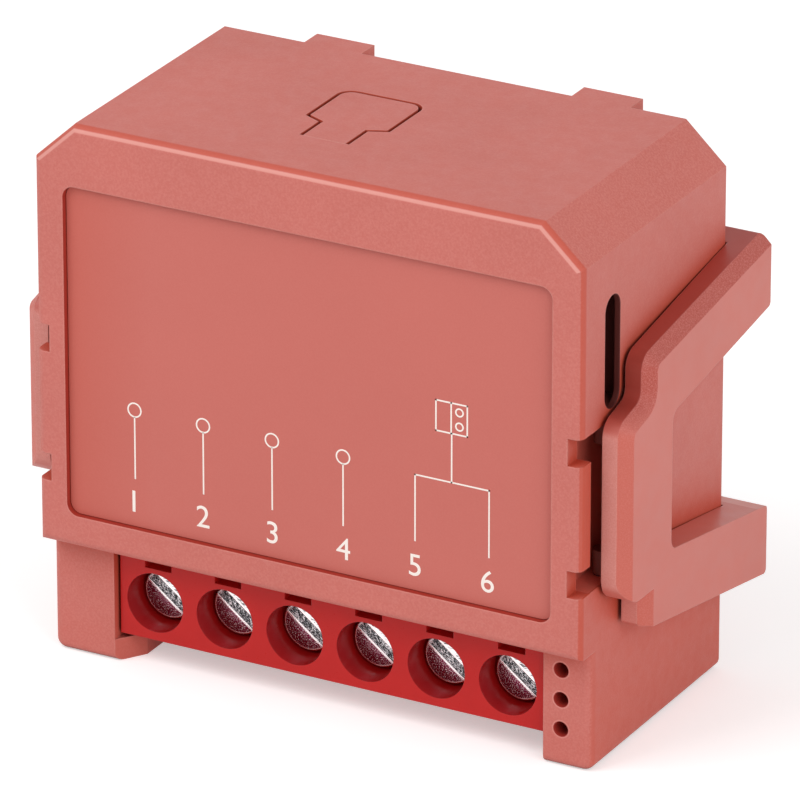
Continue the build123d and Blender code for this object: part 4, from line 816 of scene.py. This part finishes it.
class CONTROLLER_OT_relay(bpy.types.Operator):
    """Finish the relay, and the pieces that share its materials"""

    bl_idname = "controller.relay"
    bl_label = "Relay"

    def execute(self, context):
        dress(moulded("relay_case", (0.02, 0.02, 0.022), 0.3), "relay_cover", "relay_base")
        dress(moulded("natural_nylon", (0.75, 0.70, 0.58), 0.42, Subsurface_Weight=0.08, Subsurface_Scale=0.6 * MM),
              "relay_bobbin", "transformer_bobbin", "switch_plunger")
        dress(wound("enamelled_copper", (0.55, 0.20, 0.07), 0.12 * MM, metallic=0.9), "relay_winding")
        dress(brushed("soft_iron", (0.50, 0.50, 0.50), 0.36, (10, 1, 1)),
              "relay_core", "relay_yoke", "relay_armature")
        dress(brushed("contact_bronze", (0.66, 0.42, 0.22)), "relay_contact_spring", "relay_fixed_contacts")
        dress(brushed("tinned_copper", (0.72, 0.70, 0.66), 0.28, (1, 10, 1)),
              "relay_pins", "terminal_contacts", "transformer_pins")
        return {"FINISHED"}


class CONTROLLER_OT_supply(bpy.types.Operator):
    """Finish the power supply's wound and through-hole parts"""

    bl_idname = "controller.supply"
    bl_label = "Power supply"

    def execute(self, context):
        dress(moulded("ferrite", (0.045, 0.045, 0.05), 0.6, grain=0.12 * MM, depth=0.01 * MM),
              "transformer_core", "filter_inductor")
        dress(wound("winding_tape", (0.75, 0.55, 0.05), 1.3 * MM, metallic=0.0, gloss=0.25), "transformer_winding")
        dress(moulded("capacitor_sleeve", (0.02, 0.02, 0.03), 0.3, grain=0.4 * MM, depth=0.006 * MM, Coat_Weight=0.3),
              "bulk_capacitors", "output_capacitor")
        dress(moulded("varistor_blue", (0.03, 0.12, 0.40), 0.35, grain=0.5 * MM, depth=0.02 * MM), "varistor")
        dress(moulded("resistor_grey", (0.30, 0.33, 0.36), 0.6, grain=0.1 * MM, depth=0.01 * MM), "fuse_resistor")
        return {"FINISHED"}


class CONTROLLER_OT_board(bpy.types.Operator):
    """Finish the boards, chips, radio module, press switch and lamps"""

    bl_idname = "controller.board"
    bl_label = "Boards and chips"

    def execute(self, context):
        dress(etched_board("board_green", (0.012, 0.11, 0.045), (0.06, 0.24, 0.09)), "main_board")
        dress(etched_board("radio_board_dark", (0.01, 0.015, 0.03), (0.03, 0.05, 0.09)), "radio_board")
        dress(moulded("chip_black", (0.015, 0.015, 0.016), 0.55, grain=0.08 * MM, depth=0.005 * MM),
              "converter_chip", "regulator_chip", "bridge_rectifier", "optocoupler", "driver_transistor",
              "flyback_diode", "switch_body")
        dress(brushed("nickel_silver", (0.62, 0.61, 0.57), stretch=(12, 1, 1)), "radio_shield", "switch_shell")
        dress(brushed("antenna_gold", (0.80, 0.58, 0.22), 0.25, (6, 1, 1)), "radio_antenna")
        dress(moulded("lamp_clear", (0.85, 0.82, 0.72), 0.12, grain=0.6 * MM, depth=0.003 * MM, tint=0.02,
                      Transmission_Weight=0.35), "status_leds")
        dress(moulded("passive_ceramic", (0.35, 0.27, 0.18), 0.5, grain=0.1 * MM, depth=0.005 * MM, tint=0.15),
              "board_passives")
        return {"FINISHED"}


class CONTROLLER_OT_diagram(bpy.types.Operator):
    """Print the wiring diagram on the label: four ringed wires and a two-pin plug on a fork"""

    bl_idname = "controller.diagram"
    bl_label = "Printed diagram"

    def execute(self, context):
        settings = context.scene.controller_print
        near, far = ink_depths(settings)
        wide = settings.stroke
        material = ink(settings)
        wires = []
        for x, z in in_metres(RINGS):
            wires.append(ring((x, z), settings.ring, wide, near, far))
            wires.append(stroke_between((x, z - settings.ring - wide / 2), (x, WIRES_END * MM), wide, near, far))
        printed("diagram_wires", wires, material)
        lines = [*zip(PLUG_CORNERS, PLUG_CORNERS[1:] + PLUG_CORNERS[:1]), PLUG_DIVIDER, PLUG_STEM, *FORK]
        plug = [ring(place, settings.small_ring, wide, near, far) for place in in_metres(PLUG_RINGS)]
        plug += [stroke_between(*in_metres(line), wide, near, far) for line in lines]
        printed("diagram_plug", plug, material)
        return {"FINISHED"}


class CONTROLLER_OT_numbers(bpy.types.Operator):
    """Print the plain numbers 1 to 6 over the terminal's poles"""

    bl_idname = "controller.numbers"
    bl_label = "Printed numbers"

    def execute(self, context):
        settings = context.scene.controller_print
        material = bpy.data.materials.get("print_ink")
        if material is None:
            raise RuntimeError("print the diagram first")
        depths = ink_depths(settings)
        shapes = [digit_shape(str(pole), settings.digit, x, *depths) for pole, x in zip(POLES, NUMBERS)]
        printed("terminal_numbers", shapes, material)
        return {"FINISHED"}


def seen_rays(tree):
    """1 for what the camera sees directly, in gloss or through glass, and 0 for light on the object."""
    rays = tree.nodes.new("ShaderNodeLightPath")
    seen = rays.outputs["Is Camera Ray"]
    for other in ("Is Transmission Ray", "Is Glossy Ray"):
        larger = tree.nodes.new("ShaderNodeMath")
        larger.operation = "MAXIMUM"
        tree.links.new(seen, larger.inputs[0])
        tree.links.new(rays.outputs[other], larger.inputs[1])
        seen = larger.outputs[0]
    return seen


def place_floor(settings):
    """White paper under the object, which glows only for the camera and keeps the shadow."""
    made = bmesh.new()
    bmesh.ops.create_grid(made, x_segments=1, y_segments=1, size=3)
    mesh = bpy.data.meshes.new("floor")
    made.to_mesh(mesh)
    made.free()
    floor = bpy.data.objects.new("floor", mesh)
    bpy.context.scene.collection.objects.link(floor)
    finish = Finish("floor_paper")
    finish.shade(finish.tinted(settings.floor, amount=0.01, size=20 * MM), 0.9, Specular_IOR_Level=0.1)
    glow = finish.node("ShaderNodeEmission", {"Color": (1, 1, 1, 1), "Strength": settings.floor_glow})
    lifted = finish.node("ShaderNodeAddShader", {0: finish.shader.outputs[0], 1: glow.outputs[0]})
    lit = finish.node("ShaderNodeMixShader", {
        0: seen_rays(finish.tree), 1: finish.shader.outputs[0], 2: lifted.outputs[0]})
    finish.link(lit.outputs[0], finish.output.inputs["Surface"])
    mesh.materials.append(finish.material)


def light_world(settings):
    """Even light on the object, with white behind it for the camera."""
    world = bpy.data.worlds.new("studio")
    world.use_nodes = True
    bpy.context.scene.world = world
    tree = world.node_tree
    even = tree.nodes["Background"]
    even.inputs["Color"].default_value = (1, 1, 1, 1)
    even.inputs["Strength"].default_value = settings.ambient
    white = tree.nodes.new("ShaderNodeBackground")
    white.inputs["Color"].default_value = (1, 1, 1, 1)
    white.inputs["Strength"].default_value = 1.0
    mix = tree.nodes.new("ShaderNodeMixShader")
    tree.links.new(seen_rays(tree), mix.inputs[0])
    tree.links.new(even.outputs[0], mix.inputs[1])
    tree.links.new(white.outputs[0], mix.inputs[2])
    tree.links.new(mix.outputs[0], tree.nodes["World Output"].inputs["Surface"])


def place_camera(settings):
    """Long-lens camera that looks at the object's middle."""
    turn, lift = settings.azimuth, settings.elevation
    right = Vector((math.cos(turn), math.sin(turn), 0))
    back = Vector((math.sin(turn) * math.cos(lift), -math.cos(turn) * math.cos(lift), math.sin(lift)))
    up = back.cross(right)
    middle = Vector((0, -1.575 * MM, 18.4 * MM))
    aim = middle + right * settings.aim_across - up * settings.aim_down
    data = bpy.data.cameras.new("camera")
    data.lens = settings.lens
    data.sensor_width = 36
    data.clip_start = 0.01
    data.clip_end = 20
    camera = bpy.data.objects.new("camera", data)
    bpy.context.scene.collection.objects.link(camera)
    camera.matrix_world = Matrix.Translation(aim + back * settings.distance) @ Matrix(
        (right, up, back)).transposed().to_4x4()
    bpy.context.scene.camera = camera


def place_lamp(name, azimuth, elevation, distance, size, power):
    """Soft square lamp that looks at the object, placed by its direction from it."""
    data = bpy.data.lights.new(name, "AREA")
    data.shape = "SQUARE"
    data.size = size
    data.energy = power
    holder = bpy.data.objects.new(name, data)
    bpy.context.scene.collection.objects.link(holder)
    turn, lift = math.radians(azimuth), math.radians(elevation)
    way = Vector((math.sin(turn) * math.cos(lift), -math.cos(turn) * math.cos(lift), math.sin(lift)))
    holder.location = Vector((0, 0, 18 * MM)) + way * distance
    holder.rotation_euler = way.to_track_quat("Z", "Y").to_euler()


class CONTROLLER_OT_stage(bpy.types.Operator):
    """Set up the floor, the even light, the camera and the lamps"""

    bl_idname = "controller.stage"
    bl_label = "Studio"

    def execute(self, context):
        settings = context.scene.controller_studio
        place_floor(settings)
        light_world(settings)
        place_camera(settings)
        place_lamp("key_lamp", azimuth=-38, elevation=48, distance=0.45, size=0.28, power=settings.key)
        place_lamp("fill_lamp", azimuth=62, elevation=22, distance=0.5, size=0.32, power=settings.fill)
        context.scene.view_settings.view_transform = "Standard"
        return {"FINISHED"}


class CONTROLLER_PT_panel(bpy.types.Panel):
    """Settings and steps of the controller"""

    bl_label = "Garage door controller"
    bl_space_type = "VIEW_3D"
    bl_region_type = "UI"
    bl_category = "Controller"

    def draw(self, context):
        for name, group in GROUPS.items():
            box = self.layout.box()
            box.label(text=group.__doc__)
            settings = getattr(context.scene, name)
            for key in settings.bl_rna.properties.keys():
                if key not in ("rna_type", "name"):
                    box.prop(settings, key)
        for step in STEPS:
            self.layout.operator(step.bl_idname)


GROUPS = {
    "controller_coral": ControllerCoral,
    "controller_terminal": ControllerTerminal,
    "controller_print": ControllerPrint,
    "controller_studio": ControllerStudio,
}
STEPS = (
    CONTROLLER_OT_coral, CONTROLLER_OT_terminal, CONTROLLER_OT_relay, CONTROLLER_OT_supply, CONTROLLER_OT_board,
    CONTROLLER_OT_diagram, CONTROLLER_OT_numbers, CONTROLLER_OT_stage,
)


def register():
    for name, group in GROUPS.items():
        bpy.utils.register_class(group)
        setattr(bpy.types.Scene, name, bpy.props.PointerProperty(type=group))
    for step in STEPS:
        bpy.utils.register_class(step)
    bpy.utils.register_class(CONTROLLER_PT_panel)


def unregister():
    bpy.utils.unregister_class(CONTROLLER_PT_panel)
    for step in reversed(STEPS):
        bpy.utils.unregister_class(step)
    for name, group in reversed(GROUPS.items()):
        delattr(bpy.types.Scene, name)
        bpy.utils.unregister_class(group)


def main():
    register()
    bpy.ops.controller.coral()
    bpy.ops.controller.terminal()
    bpy.ops.controller.relay()
    bpy.ops.controller.supply()
    bpy.ops.controller.board()
    bpy.ops.controller.diagram()
    bpy.ops.controller.numbers()
    bpy.ops.controller.stage()


if __name__ == "__main__":
    main()
